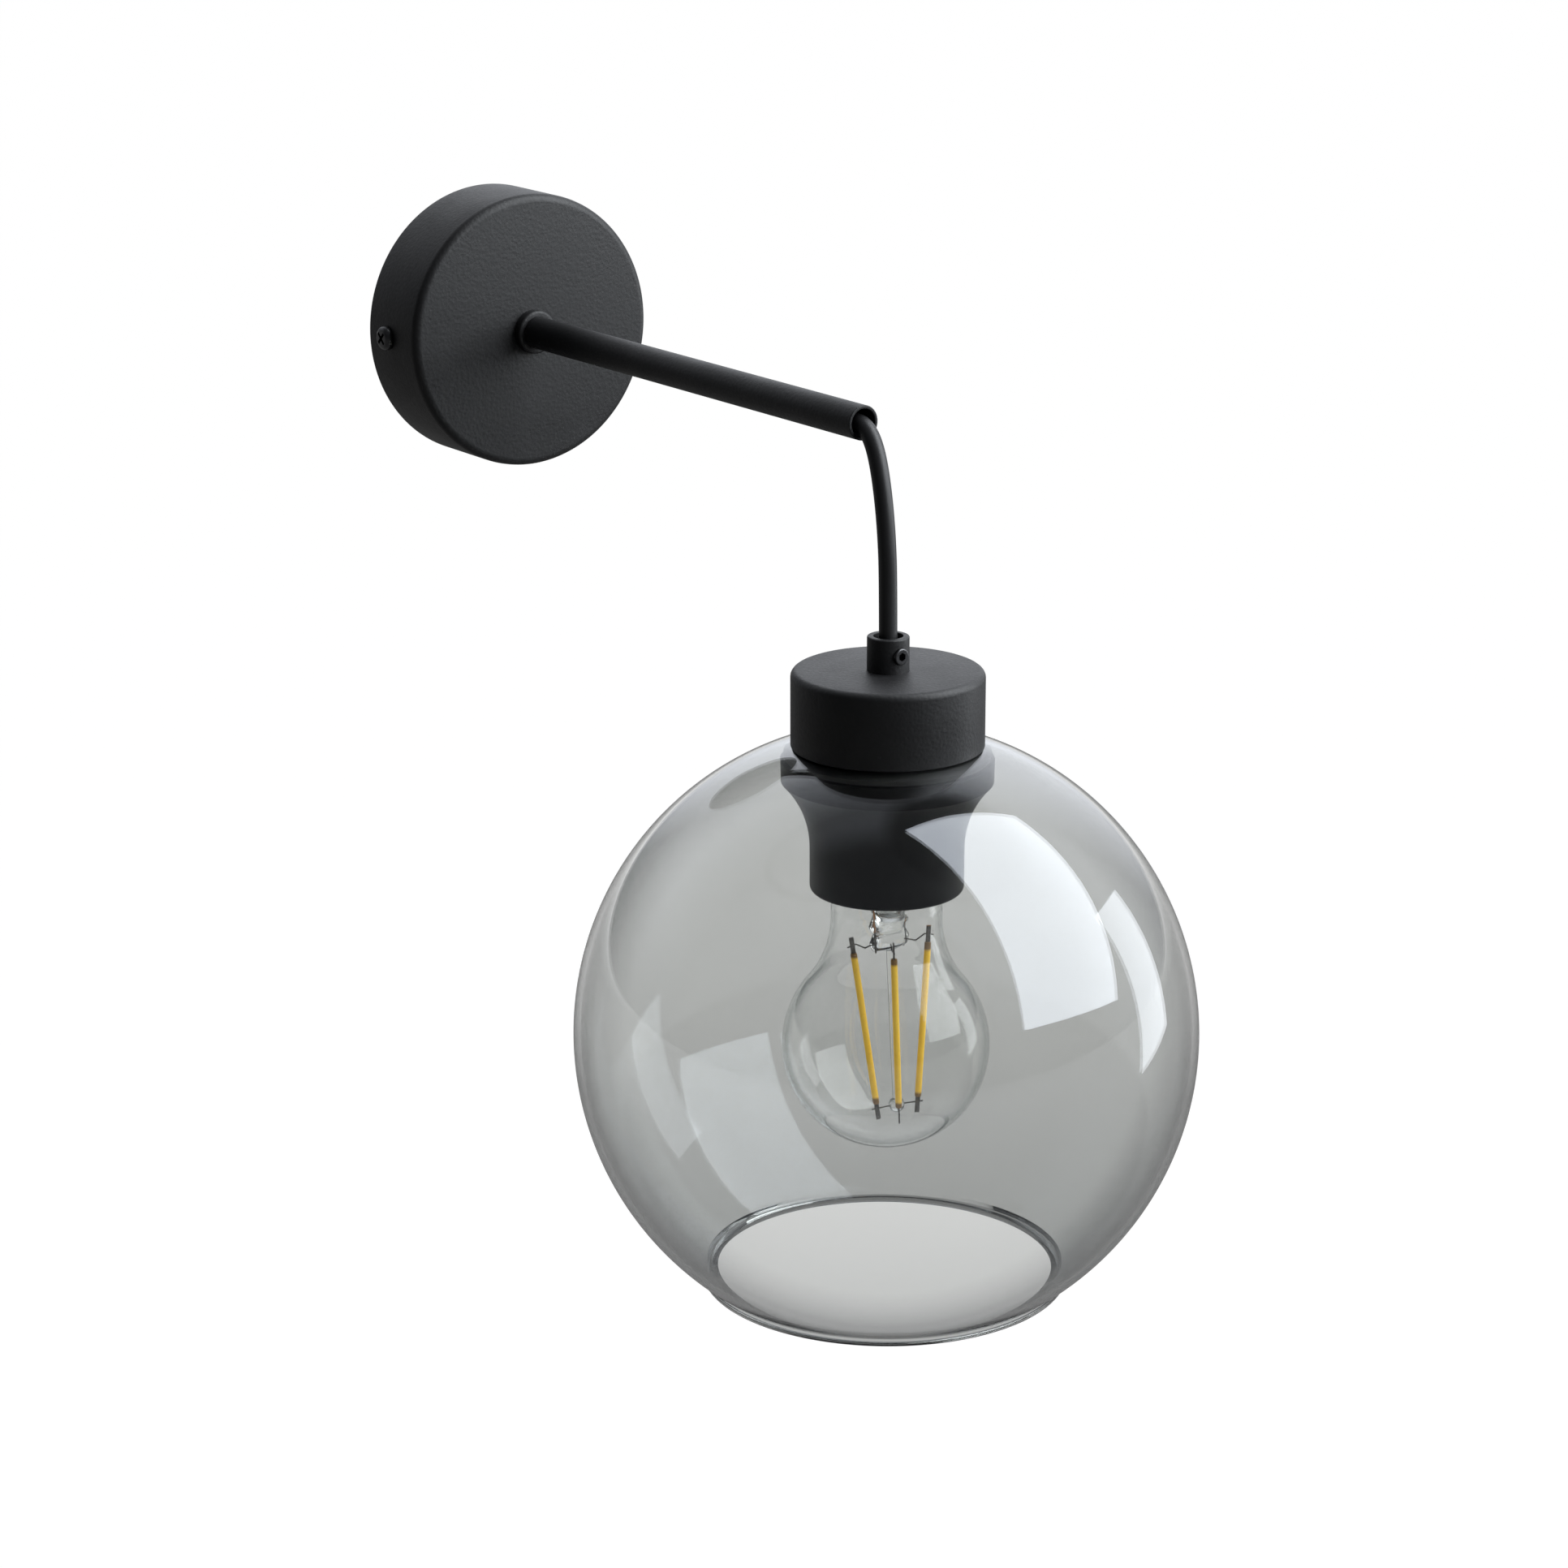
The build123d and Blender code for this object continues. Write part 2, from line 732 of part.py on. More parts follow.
def make_holder_screws():
    """Two terminal screws in the top of the disc."""
    one = screw(
        holder_screw_radius, holder_screw_length, holder_screw_head_radius, holder_screw_head_height, False)
    return [Pos(side * holder_screw_offset, pendant_y, disc_top) * one for side in (-1, 1)]


def make_holder_leads():
    """Two insulated cores from the end of the flex into the disc."""
    leads = []
    start = spigot_end - flex_end_below_spigot - running_gap
    for side in (-1, 1):
        points = [
            (side * core_spread, pendant_y, start),
            (side * core_spread, pendant_y, start - lead_straight),
            (side * lead_hole_offset, pendant_y, disc_top + lead_straight),
            (side * lead_hole_offset, pendant_y, disc_top - lead_hole_depth),
        ]
        leads.append(tube_along(points, core_radius)[0])
    return leads


def make_shade_ring():
    """Bell shaped ring: a flange under the glass and a hollow curve into a straight skirt."""
    flange_foot = ring_flange_top - ring_flange_height
    chamfer = ring_flange_chamfer
    curve_top = (ring_flange_radius - chamfer, flange_foot - chamfer)
    curve_end = (ring_skirt_radius, ring_top - ring_taper_end)
    across = curve_top[0] - curve_end[0]
    down = curve_top[1] - curve_end[1]
    curve_radius = (across ** 2 + down ** 2) / (2 * across)
    curve_centre = (curve_end[0] + curve_radius, curve_end[1])
    halfway = (curve_top[1] + curve_end[1]) / 2 - curve_centre[1]
    curve_mid = (curve_centre[0] - sqrt(curve_radius ** 2 - halfway ** 2), curve_centre[1] + halfway)
    rounding = ring_bottom_rounding
    skirt_inner = ring_skirt_radius - ring_skirt_wall
    foot = (ring_skirt_radius - rounding, ring_bottom + rounding)
    thread_end = ring_top - ring_thread_length
    crown_radius = (ring_bore_radius + ring_flange_radius) / 2
    crown_mid = (crown_radius, globe_centre + sqrt(ring_top_sphere ** 2 - crown_radius ** 2))
    return turned_on_z(
        (ring_flange_radius, ring_flange_top),
        (ring_flange_radius, flange_foot),
        curve_top,
        (curve_mid, curve_end),
        (ring_skirt_radius, foot[1]),
        (arc_point(foot, rounding, -45), (foot[0], ring_bottom)),
        (skirt_inner, ring_bottom),
        (skirt_inner, thread_end),
        (ring_bore_radius, thread_end),
        (ring_bore_radius, ring_top),
        (crown_mid, (ring_flange_radius, ring_flange_top)),
    )


def on_sphere(sphere, radius):
    """Point of an outline on a sphere about the globe's centre, above its middle."""
    return (radius, globe_centre + sqrt(sphere ** 2 - radius ** 2))


def make_gasket():
    """Silicone ring between the shade ring's flange and the inside of the glass."""
    middle = (gasket_inner_radius + gasket_outer_radius) / 2
    return turned_on_z(
        on_sphere(gasket_outer_sphere, gasket_inner_radius),
        (on_sphere(gasket_outer_sphere, middle), on_sphere(gasket_outer_sphere, gasket_outer_radius)),
        on_sphere(gasket_inner_sphere, gasket_outer_radius),
        (on_sphere(gasket_inner_sphere, middle), on_sphere(gasket_inner_sphere, gasket_inner_radius)),
    )


def make_globe():
    """Blown globe with a ground hole at the top and a thick fire rounded lip at the bottom."""
    lip_inner = globe_lip_radius - globe_lip_wall
    join = globe_centre - sqrt(globe_radius ** 2 - globe_lip_radius ** 2)
    inner_join = globe_centre - sqrt(globe_inner_radius ** 2 - lip_inner ** 2)
    foot = inner_join - globe_lip_height
    corner = foot + globe_lip_rounding
    outer_corner = (globe_lip_radius - globe_lip_rounding, corner)
    inner_corner = (lip_inner + globe_lip_rounding, corner)
    return turned_on_z(
        on_sphere(globe_inner_radius, globe_hole_radius),
        on_sphere(globe_radius, globe_hole_radius),
        ((globe_radius, globe_centre), (globe_lip_radius, join)),
        (globe_lip_radius, corner),
        (arc_point(outer_corner, globe_lip_rounding, -45), (outer_corner[0], foot)),
        (inner_corner[0], foot),
        (arc_point(inner_corner, globe_lip_rounding, -135), (lip_inner, corner)),
        (lip_inner, inner_join),
        ((globe_inner_radius, globe_centre), on_sphere(globe_inner_radius, globe_hole_radius)),
    )


def make_bulb_envelope():
    """Clear glass envelope of the lamp."""
    centre_r = bulb_neck_radius + bulb_neck_fillet
    apart = bulb_radius + bulb_neck_fillet
    rise = bulb_neck_rise
    fillet_centre = (centre_r, bulb_centre + rise)
    globe_centre_point = (0, bulb_centre)
    half_drop = (rise - rise / apart * bulb_radius) / 2

    def tangent(radius):
        return (centre_r / apart * radius, bulb_centre + rise / apart * radius)

    def fillet_point(radius):
        return (centre_r - sqrt(radius ** 2 - half_drop ** 2), fillet_centre[1] - half_drop)

    inner = bulb_radius - bulb_glass
    fillet_inner = bulb_neck_fillet + bulb_glass
    neck_inner = bulb_neck_radius - bulb_glass
    return turned_on_z(
        (bulb_collar_radius, bulb_collar),
        (bulb_neck_radius, bulb_neck),
        (bulb_neck_radius, fillet_centre[1]),
        (fillet_point(bulb_neck_fillet), tangent(bulb_radius)),
        (arc_point(globe_centre_point, bulb_radius, -25), (0, bulb_foot)),
        (0, bulb_foot + bulb_glass),
        (arc_point(globe_centre_point, inner, -25), tangent(inner)),
        (fillet_point(fillet_inner), (neck_inner, fillet_centre[1])),
        (neck_inner, bulb_neck),
        (bulb_collar_radius - bulb_glass, bulb_collar),
    )


def make_screw_cap():
    """Screw cap of the lamp with its rolled thread, open at the top for the insulator."""
    outer = [(thread_root_radius, screw_cap_top)]
    for turn in range(thread_turns):
        z = screw_cap_top - turn * thread_pitch
        outer.append((thread_root_radius, z - thread_foot_share * thread_pitch))
        crest = (thread_crest_radius, z - thread_pitch / 2)
        outer.append((crest, (thread_root_radius, z - (1 - thread_foot_share) * thread_pitch)))
    skirt_top = screw_cap_top - thread_turns * thread_pitch
    inner = thread_root_radius - thread_sheet
    return turned_on_z(
        *outer,
        (thread_root_radius, skirt_top),
        (thread_crest_radius, skirt_top),
        (thread_crest_radius, screw_cap_bottom),
        (inner, screw_cap_bottom),
        (inner, screw_cap_top),
    )


def make_insulator():
    """Black glass insulator between the screw cap and the centre contact."""
    rim = thread_root_radius - thread_sheet - thread_gap
    floor = screw_cap_top - thread_pitch
    return turned_on_z(
        (0, bulb_tip - tip_height),
        (insulator_top_radius, bulb_tip - tip_height),
        (rim, screw_cap_top),
        (rim, floor),
        (0, floor),
    )


def make_bulb_tip():
    """Centre contact of the lamp."""
    tip = upright_cylinder(tip_radius, bulb_tip - tip_height, bulb_tip)
    return fillet(tip.edges().group_by(Axis.Z)[-1], tip_height * tip_rounding_share)


def make_driver_board():
    """Round driver board inside the screw cap with its capacitor."""
    top = screw_cap_top - thread_pitch - slip_gap - driver_part_height
    rim = thread_root_radius - thread_sheet - thread_gap
    board = upright_cylinder(rim, top - driver_board_thickness, top)
    return board + upright_cylinder(driver_part_radius, top, top + driver_part_height)


def make_stem():
    """Glass stem: a flare in the neck, a pinch, and a rod down the middle with a button."""
    rim = stem_rim_radius - thread_sheet
    flare_end = stem_top - stem_flare_height
    narrow = (rim - stem_pinch_radius) * flare_narrow_share
    flare_mid = (stem_pinch_radius + narrow, stem_top - stem_flare_height / 2)
    inner_mid = (flare_mid[0] - stem_wall, flare_mid[1])
    return turned_on_z(
        (rim, stem_top),
        (flare_mid, (stem_pinch_radius, flare_end)),
        (stem_pinch_radius, stem_pinch_bottom + stem_wall),
        (stem_rod_radius, stem_pinch_bottom),
        (stem_rod_radius, stem_rod_end),
        (stem_button_radius, stem_rod_end - stem_button_height * button_bevel_share),
        (stem_button_radius, stem_rod_end - stem_button_height * (1 - button_bevel_share)),
        (0, stem_rod_end - stem_button_height),
        (0, flare_end),
        (stem_pinch_radius - stem_wall, flare_end),
        (inner_mid, (rim - stem_wall, stem_top)),
    )


def filament_ends(angle):
    """Upper and lower end of the filament that stands at an angle about the lamp's axis."""
    turn = radians(angle)
    top = (filament_top_radius * cos(turn), pendant_y + filament_top_radius * sin(turn), filament_top)
    foot = (filament_foot_radius * cos(turn), pendant_y + filament_foot_radius * sin(turn), filament_foot)
    return top, foot


def make_filaments():
    """Yellow filament rods, standing closer together at the foot."""
    return [rod_between(*filament_ends(angle), filament_radius) for angle in filament_angles]


def make_clips():
    """Metal ends of the filaments, in line with them."""
    clips = []
    for angle in filament_angles:
        top, foot = filament_ends(angle)
        along = (Vector(*top) - Vector(*foot)).normalized() * clip_length
        clips.append(rod_between(top, tuple(Vector(*top) + along), clip_radius))
        clips.append(rod_between(foot, tuple(Vector(*foot) - along), clip_radius))
    return clips


def make_support_wires():
    """Wires from the stem to the filament clips, above and below."""
    wires = []
    slope = (filament_top_radius - filament_foot_radius) / (filament_top - filament_foot)
    low_z = stem_rod_end - stem_button_height / 2
    for angle in filament_angles:
        turn = radians(angle)
        low_reach = filament_foot_radius - slope * (filament_foot - low_z) - clip_radius - slip_gap
        high_z = stem_pinch_bottom + stem_wall + 2 * support_wire_radius
        high_reach = filament_top_radius + slope * (high_z - filament_top) - clip_radius - slip_gap
        for z, inner, reach in (
            (low_z, stem_button_radius + slip_gap, low_reach),
            (high_z, stem_pinch_radius + slip_gap, high_reach),
        ):
            start = (inner * cos(turn), pendant_y + inner * sin(turn), z)
            end = (reach * cos(turn), pendant_y + reach * sin(turn), z)
            wires.append(rod_between(start, end, support_wire_radius))
    return wires


def make_flex(route):
    """Free stretch of the flex, with its volume held against its section times its length."""
    points = flex_points(route)
    solid, path = tube_along(points, flex_radius)
    share = solid.volume / (pi * flex_radius ** 2 * path.length)
    radii = ", ".join(f"{radius:.1f}" for radius in run_radii(points))
    print(f"flex length {path.length:.1f} mm, bend radii {radii} mm, volume share {share:.4f}")
    return solid


def build():
    """All pieces of the sconce by node name."""
    return {
        "wall_bracket": make_bracket(),
        "canopy": make_canopy(),
        "canopy_screws": make_side_screws(),
        "earth_screw": make_earth_screw(),
        "earth_washer": make_earth_washer(),
        "terminal_block": make_terminal_block(),
        "terminal_inserts": make_terminal_inserts(),
        "terminal_screws": make_clamp_screws(),
        "block_screw": make_block_screw(),
        "arm_tube": make_arm_tube(),
        "arm_collar": make_arm_collar(),
        "arm_lock_washer": make_arm_washer(),
        "arm_nut": make_arm_nut(),
        "flex_in_arm": make_flex_in_arm(),
        "canopy_leads": make_canopy_leads(),
        "flex_upper": make_flex(flex_upper_route),
        "flex_lower": make_flex(flex_lower_route),
        "cord_grip": make_cord_grip(),
        "grip_screw": make_grip_screw(),
        "shade_cap": make_shade_cap(),
        "cap_lock_washer": make_cap_washer(),
        "grip_nut": make_grip_nut(),
        "holder_dome": make_holder_dome(),
        "holder_body": make_holder_body(),
        "contact_disc": make_contact_disc(),
        "screw_shell": make_screw_shell(),
        "centre_contact": make_centre_contact(),
        "holder_screws": make_holder_screws(),
        "holder_leads": make_holder_leads(),
        "shade_ring": make_shade_ring(),
        "glass_gasket": make_gasket(),
        "glass_globe": make_globe(),
        "bulb_tip": make_bulb_tip(),
        "bulb_insulator": make_insulator(),
        "bulb_screw_cap": make_screw_cap(),
        "bulb_envelope": make_bulb_envelope(),
        "bulb_driver_board": make_driver_board(),
        "bulb_stem": make_stem(),
        "bulb_filaments": make_filaments(),
        "bulb_clips": make_clips(),
        "bulb_support_wires": make_support_wires(),
    }


os.makedirs("parts", exist_ok=True)
for node, piece in build().items():
    solid = Compound(children=piece) if isinstance(piece, list) else piece
    export_step(solid, f"parts/{node}.step")
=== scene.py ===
"""Looks of the wall sconce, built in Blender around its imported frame. Metres, +Z up."""

import json
import logging
import math
from dataclasses import dataclass, field
from enum import Enum

import bpy
from mathutils import Matrix, Vector


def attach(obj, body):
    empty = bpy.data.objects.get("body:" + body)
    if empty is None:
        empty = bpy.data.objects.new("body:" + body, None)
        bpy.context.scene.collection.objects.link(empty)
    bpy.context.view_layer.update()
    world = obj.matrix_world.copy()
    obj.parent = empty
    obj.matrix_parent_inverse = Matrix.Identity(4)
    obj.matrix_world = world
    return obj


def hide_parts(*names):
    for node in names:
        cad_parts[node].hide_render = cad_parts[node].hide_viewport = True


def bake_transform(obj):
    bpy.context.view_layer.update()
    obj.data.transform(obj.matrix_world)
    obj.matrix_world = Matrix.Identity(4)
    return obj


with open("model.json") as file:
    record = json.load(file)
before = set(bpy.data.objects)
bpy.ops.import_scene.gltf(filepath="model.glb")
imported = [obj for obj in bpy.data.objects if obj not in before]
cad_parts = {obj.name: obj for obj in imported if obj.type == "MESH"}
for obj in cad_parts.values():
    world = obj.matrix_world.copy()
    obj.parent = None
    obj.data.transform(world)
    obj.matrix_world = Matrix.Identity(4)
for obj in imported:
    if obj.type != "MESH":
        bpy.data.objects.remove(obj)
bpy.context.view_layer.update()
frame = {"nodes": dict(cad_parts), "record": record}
NODES = frame["nodes"]
LOG = logging.getLogger("sconce")

Piece = bpy.types.Object
Material = bpy.types.Material
Node = bpy.types.Node
Socket = bpy.types.NodeSocket
Pair = tuple[float, float]
Triple = tuple[float, float, float]
Colour = Triple | Socket

MM = 0.001
WELD = 0.001 * MM
NOISE_SPAN = (0.3, 0.7)
LAMP_Y = -0.212
FILAMENT_TOP = -0.1506
FILAMENT_LENGTH = 0.047


class TurnAxis(Enum):
    """Line that a turned piece is spun about."""

    ARM = "arm"
    LAMP = "lamp"

    @property
    def centre(self) -> Vector:
        """Point on the axis."""
        return Vector((0, 0, 0)) if self is TurnAxis.ARM else Vector((0, LAMP_Y, 0))

    @property
    def direction(self) -> Vector:
        """Way that the axis runs."""
        return Vector((0, 1, 0)) if self is TurnAxis.ARM else Vector((0, 0, 1))

    def place(self, radius: float, along: float) -> Vector:
        """Point of a half section.

        Args:
            radius: Distance from the axis.
            along: Place along the axis.

        Returns:
            The point in space.
        """
        return self.centre + Vector((radius, 0, 0)) + self.direction * along


class Body(Enum):
    """Rigid bodies of the frame that pieces ride on."""

    WALL = "wall_unit"
    UPPER_FLEX = "upper_flex"
    LOWER_FLEX = "lower_flex"
    PENDANT = "pendant"
    BULB = "bulb"


@dataclass
class Outline:
    """Closed half section of a turned piece, as corners with a rounding each."""

    corners: list[Triple] = field(default_factory=list)
    rounding_steps: int = 6

    def corner(self, radius: float, along: float, rounding: float = 0.0) -> "Outline":
        """Adds a corner.

        Args:
            radius: Distance from the axis.
            along: Place along the axis.
            rounding: Radius that the corner is rounded to.

        Returns:
            The outline itself, so that calls can follow each other.
        """
        self.corners.append((radius, along, rounding))
        return self

    def arc(self, centre: Pair, radius: float, start: float, end: float, steps: int) -> "Outline":
        """Adds points along an arc.

        Args:
            centre: Middle of the arc, as radius and place along the axis.
            radius: Radius of the arc.
            start: First angle in degrees, from the outward direction.
            end: Last angle in degrees.
            steps: Number of runs that the arc is drawn with.

        Returns:
            The outline itself, so that calls can follow each other.
        """
        for step in range(steps + 1):
            angle = math.radians(start + (end - start) * step / steps)
            x = centre[0] + radius * math.cos(angle)
            self.corner(max(x, 0.0), centre[1] + radius * math.sin(angle))
        return self

    def _rounded(self, index: int) -> list[Vector]:
        """Points that stand for one corner.

        Args:
            index: Number of the corner.

        Returns:
            The corner, or an arc between its two sides.
        """
        radius, along, rounding = self.corners[index]
        tip = Vector((radius, along))
        if rounding == 0:
            return [tip]
        following = self.corners[(index + 1) % len(self.corners)]
        before = (Vector(self.corners[index - 1][:2]) - tip).normalized()
        after = (Vector(following[:2]) - tip).normalized()
        half = before.angle(after) / 2
        centre = tip + (before + after).normalized() * (rounding / math.sin(half))
        first = tip + before * (rounding / math.tan(half)) - centre
        last = tip + after * (rounding / math.tan(half)) - centre
        start = math.atan2(first.y, first.x)
        sweep = math.remainder(math.atan2(last.y, last.x) - start, math.tau)
        return [
            centre + rounding * Vector((math.cos(start + sweep * t), math.sin(start + sweep * t)))
            for t in (step / self.rounding_steps for step in range(self.rounding_steps + 1))
        ]

    def points(self) -> list[Vector]:
        """All points of the outline in order."""
        return [point for index in range(len(self.corners)) for point in self._rounded(index)]


class Bench:
    """Blender's own modelling tools, used on one piece at a time."""

    @staticmethod
    def clear() -> None:
        """Deselects everything."""
        bpy.ops.object.select_all(action="DESELECT")

    @classmethod
    def focus(cls, piece: Piece) -> None:
        """Selects one piece alone and makes it the active one."""
        cls.clear()
        piece.select_set(True)
        bpy.context.view_layer.objects.active = piece

    @staticmethod
    def begin(name: str) -> Piece:
        """Names the primitive that was just added and puts its place into its mesh.

        Args:
            name: Name of the new piece.

        Returns:
            The piece, at the origin and unturned.
        """
        piece = bpy.context.object
        piece.name = name
        piece.data.name = name
        bpy.ops.object.transform_apply(location=True, rotation=True, scale=True)
        return piece

    @classmethod
    def open_mesh(cls, piece: Piece, selected: bool = True) -> None:
        """Opens the mesh of a piece for editing.

        Args:
            piece: Piece to edit.
            selected: Whether all of its mesh is selected, or nothing.
        """
        cls.focus(piece)
        bpy.ops.object.mode_set(mode="EDIT")
        bpy.ops.mesh.select_all(action="SELECT" if selected else "DESELECT")

    @staticmethod
    def close_mesh() -> None:
        """Goes back from a mesh to its piece."""
        bpy.ops.object.mode_set(mode="OBJECT")

    @staticmethod
    def weld() -> None:
        """Merges the corners of the open mesh that lie on each other."""
        bpy.ops.mesh.select_all(action="SELECT")
        bpy.ops.mesh.remove_doubles(threshold=WELD)

    @classmethod
    def smooth(cls, piece: Piece, bend: float = 40.0) -> None:
        """Smooths a piece, apart from its sharp edges.

        Args:
            piece: Piece to smooth.
            bend: Angle in degrees from which an edge is sharp.
        """
        cls.focus(piece)
        bpy.ops.object.shade_smooth_by_angle(angle=math.radians(bend))

    @classmethod
    def turned(cls, name: str, outline: Outline, axis: TurnAxis, steps: int) -> Piece:
        """Spins a half section into a closed piece.

        Args:
            name: Name of the new piece.
            outline: Half section of the piece.
            axis: Line to spin about.
            steps: Number of steps in the full turn.

        Returns:
            The turned piece with smooth faces and sharp edges where it is bent.
        """
        cls.clear()
        bpy.ops.mesh.primitive_circle_add(vertices=3, radius=MM)
        piece = cls.begin(name)
        places = [axis.place(*point) for point in outline.points()]
        cls.open_mesh(piece)
        bpy.ops.mesh.merge(type="CENTER")
        bpy.ops.transform.translate(value=places[0])
        for here, there in zip(places, places[1:] + places[:1]):
            bpy.ops.mesh.extrude_region_move(TRANSFORM_OT_translate={"value": there - here})
        cls.weld()
        bpy.ops.mesh.spin(steps=steps, angle=math.tau, center=axis.centre, axis=axis.direction)
        cls.weld()
        bpy.ops.mesh.normals_make_consistent(inside=False)
        cls.close_mesh()
        cls.smooth(piece, bend=35.0)
        return piece

    @classmethod
    def rod(
        cls, name: str, start: Vector, end: Vector, radius: float, sides: int, rounding: float = 0.0,
    ) -> Piece:
        """Round rod between two points.

        Args:
            name: Name of the new piece.
            start: First end.
            end: Second end.
            radius: Radius of the rod.
            sides: Number of sides.
            rounding: Width of the bevel round both ends.

        Returns:
            The rod.
        """
        along = end - start
        cls.clear()
        bpy.ops.mesh.primitive_cylinder_add(
            vertices=sides, radius=radius, depth=along.length, location=(start + end) / 2,
            rotation=along.to_track_quat("Z", "Y").to_euler())
        piece = cls.begin(name)
        if rounding:
            cls.bevel_rims(piece, rounding)
        return piece

    @classmethod
    def block(cls, name: str, middle: Vector, sizes: Triple, turn: Triple) -> Piece:
        """Rectangular block.

        Args:
            name: Name of the new piece.
            middle: Middle of the block.
            sizes: Lengths of its sides.
            turn: Turn about its middle, as Euler angles.

        Returns:
            The block.
        """
        cls.clear()
        bpy.ops.mesh.primitive_cube_add(size=1, location=middle, rotation=turn)
        bpy.context.object.scale = sizes
        return cls.begin(name)

    @classmethod
    def bevel_rims(cls, piece: Piece, width: float, segments: int = 4) -> None:
        """Rounds the sharp edges of a piece.

        Args:
            piece: Piece to round.
            width: Width of the bevel.
            segments: Number of steps across the bevel.
        """
        cls.focus(piece)
        bevel = piece.modifiers.new("rim", "BEVEL")
        bevel.width = width
        bevel.segments = segments
        bevel.limit_method = "ANGLE"
        bevel.angle_limit = math.radians(50)
        bpy.ops.object.modifier_apply(modifier=bevel.name)
        cls.smooth(piece)

    @classmethod
    def cut(cls, piece: Piece, cutter: Piece) -> None:
        """Takes one shape out of another.

        Args:
            piece: Piece that is cut.
            cutter: Shape that is taken out and then removed.
        """
        cls.focus(piece)
        cut = piece.modifiers.new("cut", "BOOLEAN")
        cut.operation = "DIFFERENCE"
        cut.solver = "EXACT"
        cut.object = cutter
        bpy.ops.object.modifier_apply(modifier=cut.name)
        bpy.data.objects.remove(cutter)

    @classmethod
    def joined(cls, name: str, pieces: list[Piece]) -> Piece:
        """Joins separate shapes into one piece.

        Args:
            name: Name of the joined piece.
            pieces: Shapes to join.

        Returns:
            The joined piece.
        """
        cls.focus(pieces[0])
        for other in pieces[1:]:
            other.select_set(True)
        bpy.ops.object.join()
        pieces[0].name = name
        pieces[0].data.name = name
        return pieces[0]


@dataclass(frozen=True)
class Wire:
    """A number on its way through a shader."""

    maker: "ShaderMaker"
    socket: Socket

    def _math(self, operation: str, first: "Wire | float", second: "Wire | float") -> "Wire":
        """Adds a Math node.

        Args:
            operation: Name of the operation.
            first: First number.
            second: Second number.

        Returns:
            The result.
        """
        node = self.maker.node("ShaderNodeMath", {"operation": operation}, {0: first, 1: second})
        return Wire(self.maker, node.outputs[0])

    def __add__(self, other: "Wire | float") -> "Wire":
        """Sum."""
        return self._math("ADD", self, other)

    __radd__ = __add__

    def __sub__(self, other: "Wire | float") -> "Wire":
        """Difference."""
        return self._math("SUBTRACT", self, other)

    def __rsub__(self, other: "Wire | float") -> "Wire":
        """Difference from a plain number."""
        return self._math("SUBTRACT", other, self)

    def __mul__(self, other: "Wire | float") -> "Wire":
        """Product."""
        return self._math("MULTIPLY", self, other)

    __rmul__ = __mul__

    def largest(self, other: "Wire | float") -> "Wire":
        """Larger of two numbers."""
        return self._math("MAXIMUM", self, other)

    def size(self) -> "Wire":
        """Number without its sign."""
        return self._math("ABSOLUTE", self, 0.0)

    def spread(self, low: float, high: float, to_low: float, to_high: float) -> "Wire":
        """Maps a range to another one, clamped.

        Args:
            low: Lower end of the range that comes in.
            high: Upper end of it.
            to_low: Lower end of the range that goes out.
            to_high: Upper end of it.

        Returns:
            The mapped number.
        """
        node = self.maker.node("ShaderNodeMapRange", {"clamp": True}, {
            "Value": self, "From Min": low, "From Max": high, "To Min": to_low, "To Max": to_high})
        return Wire(self.maker, node.outputs["Result"])


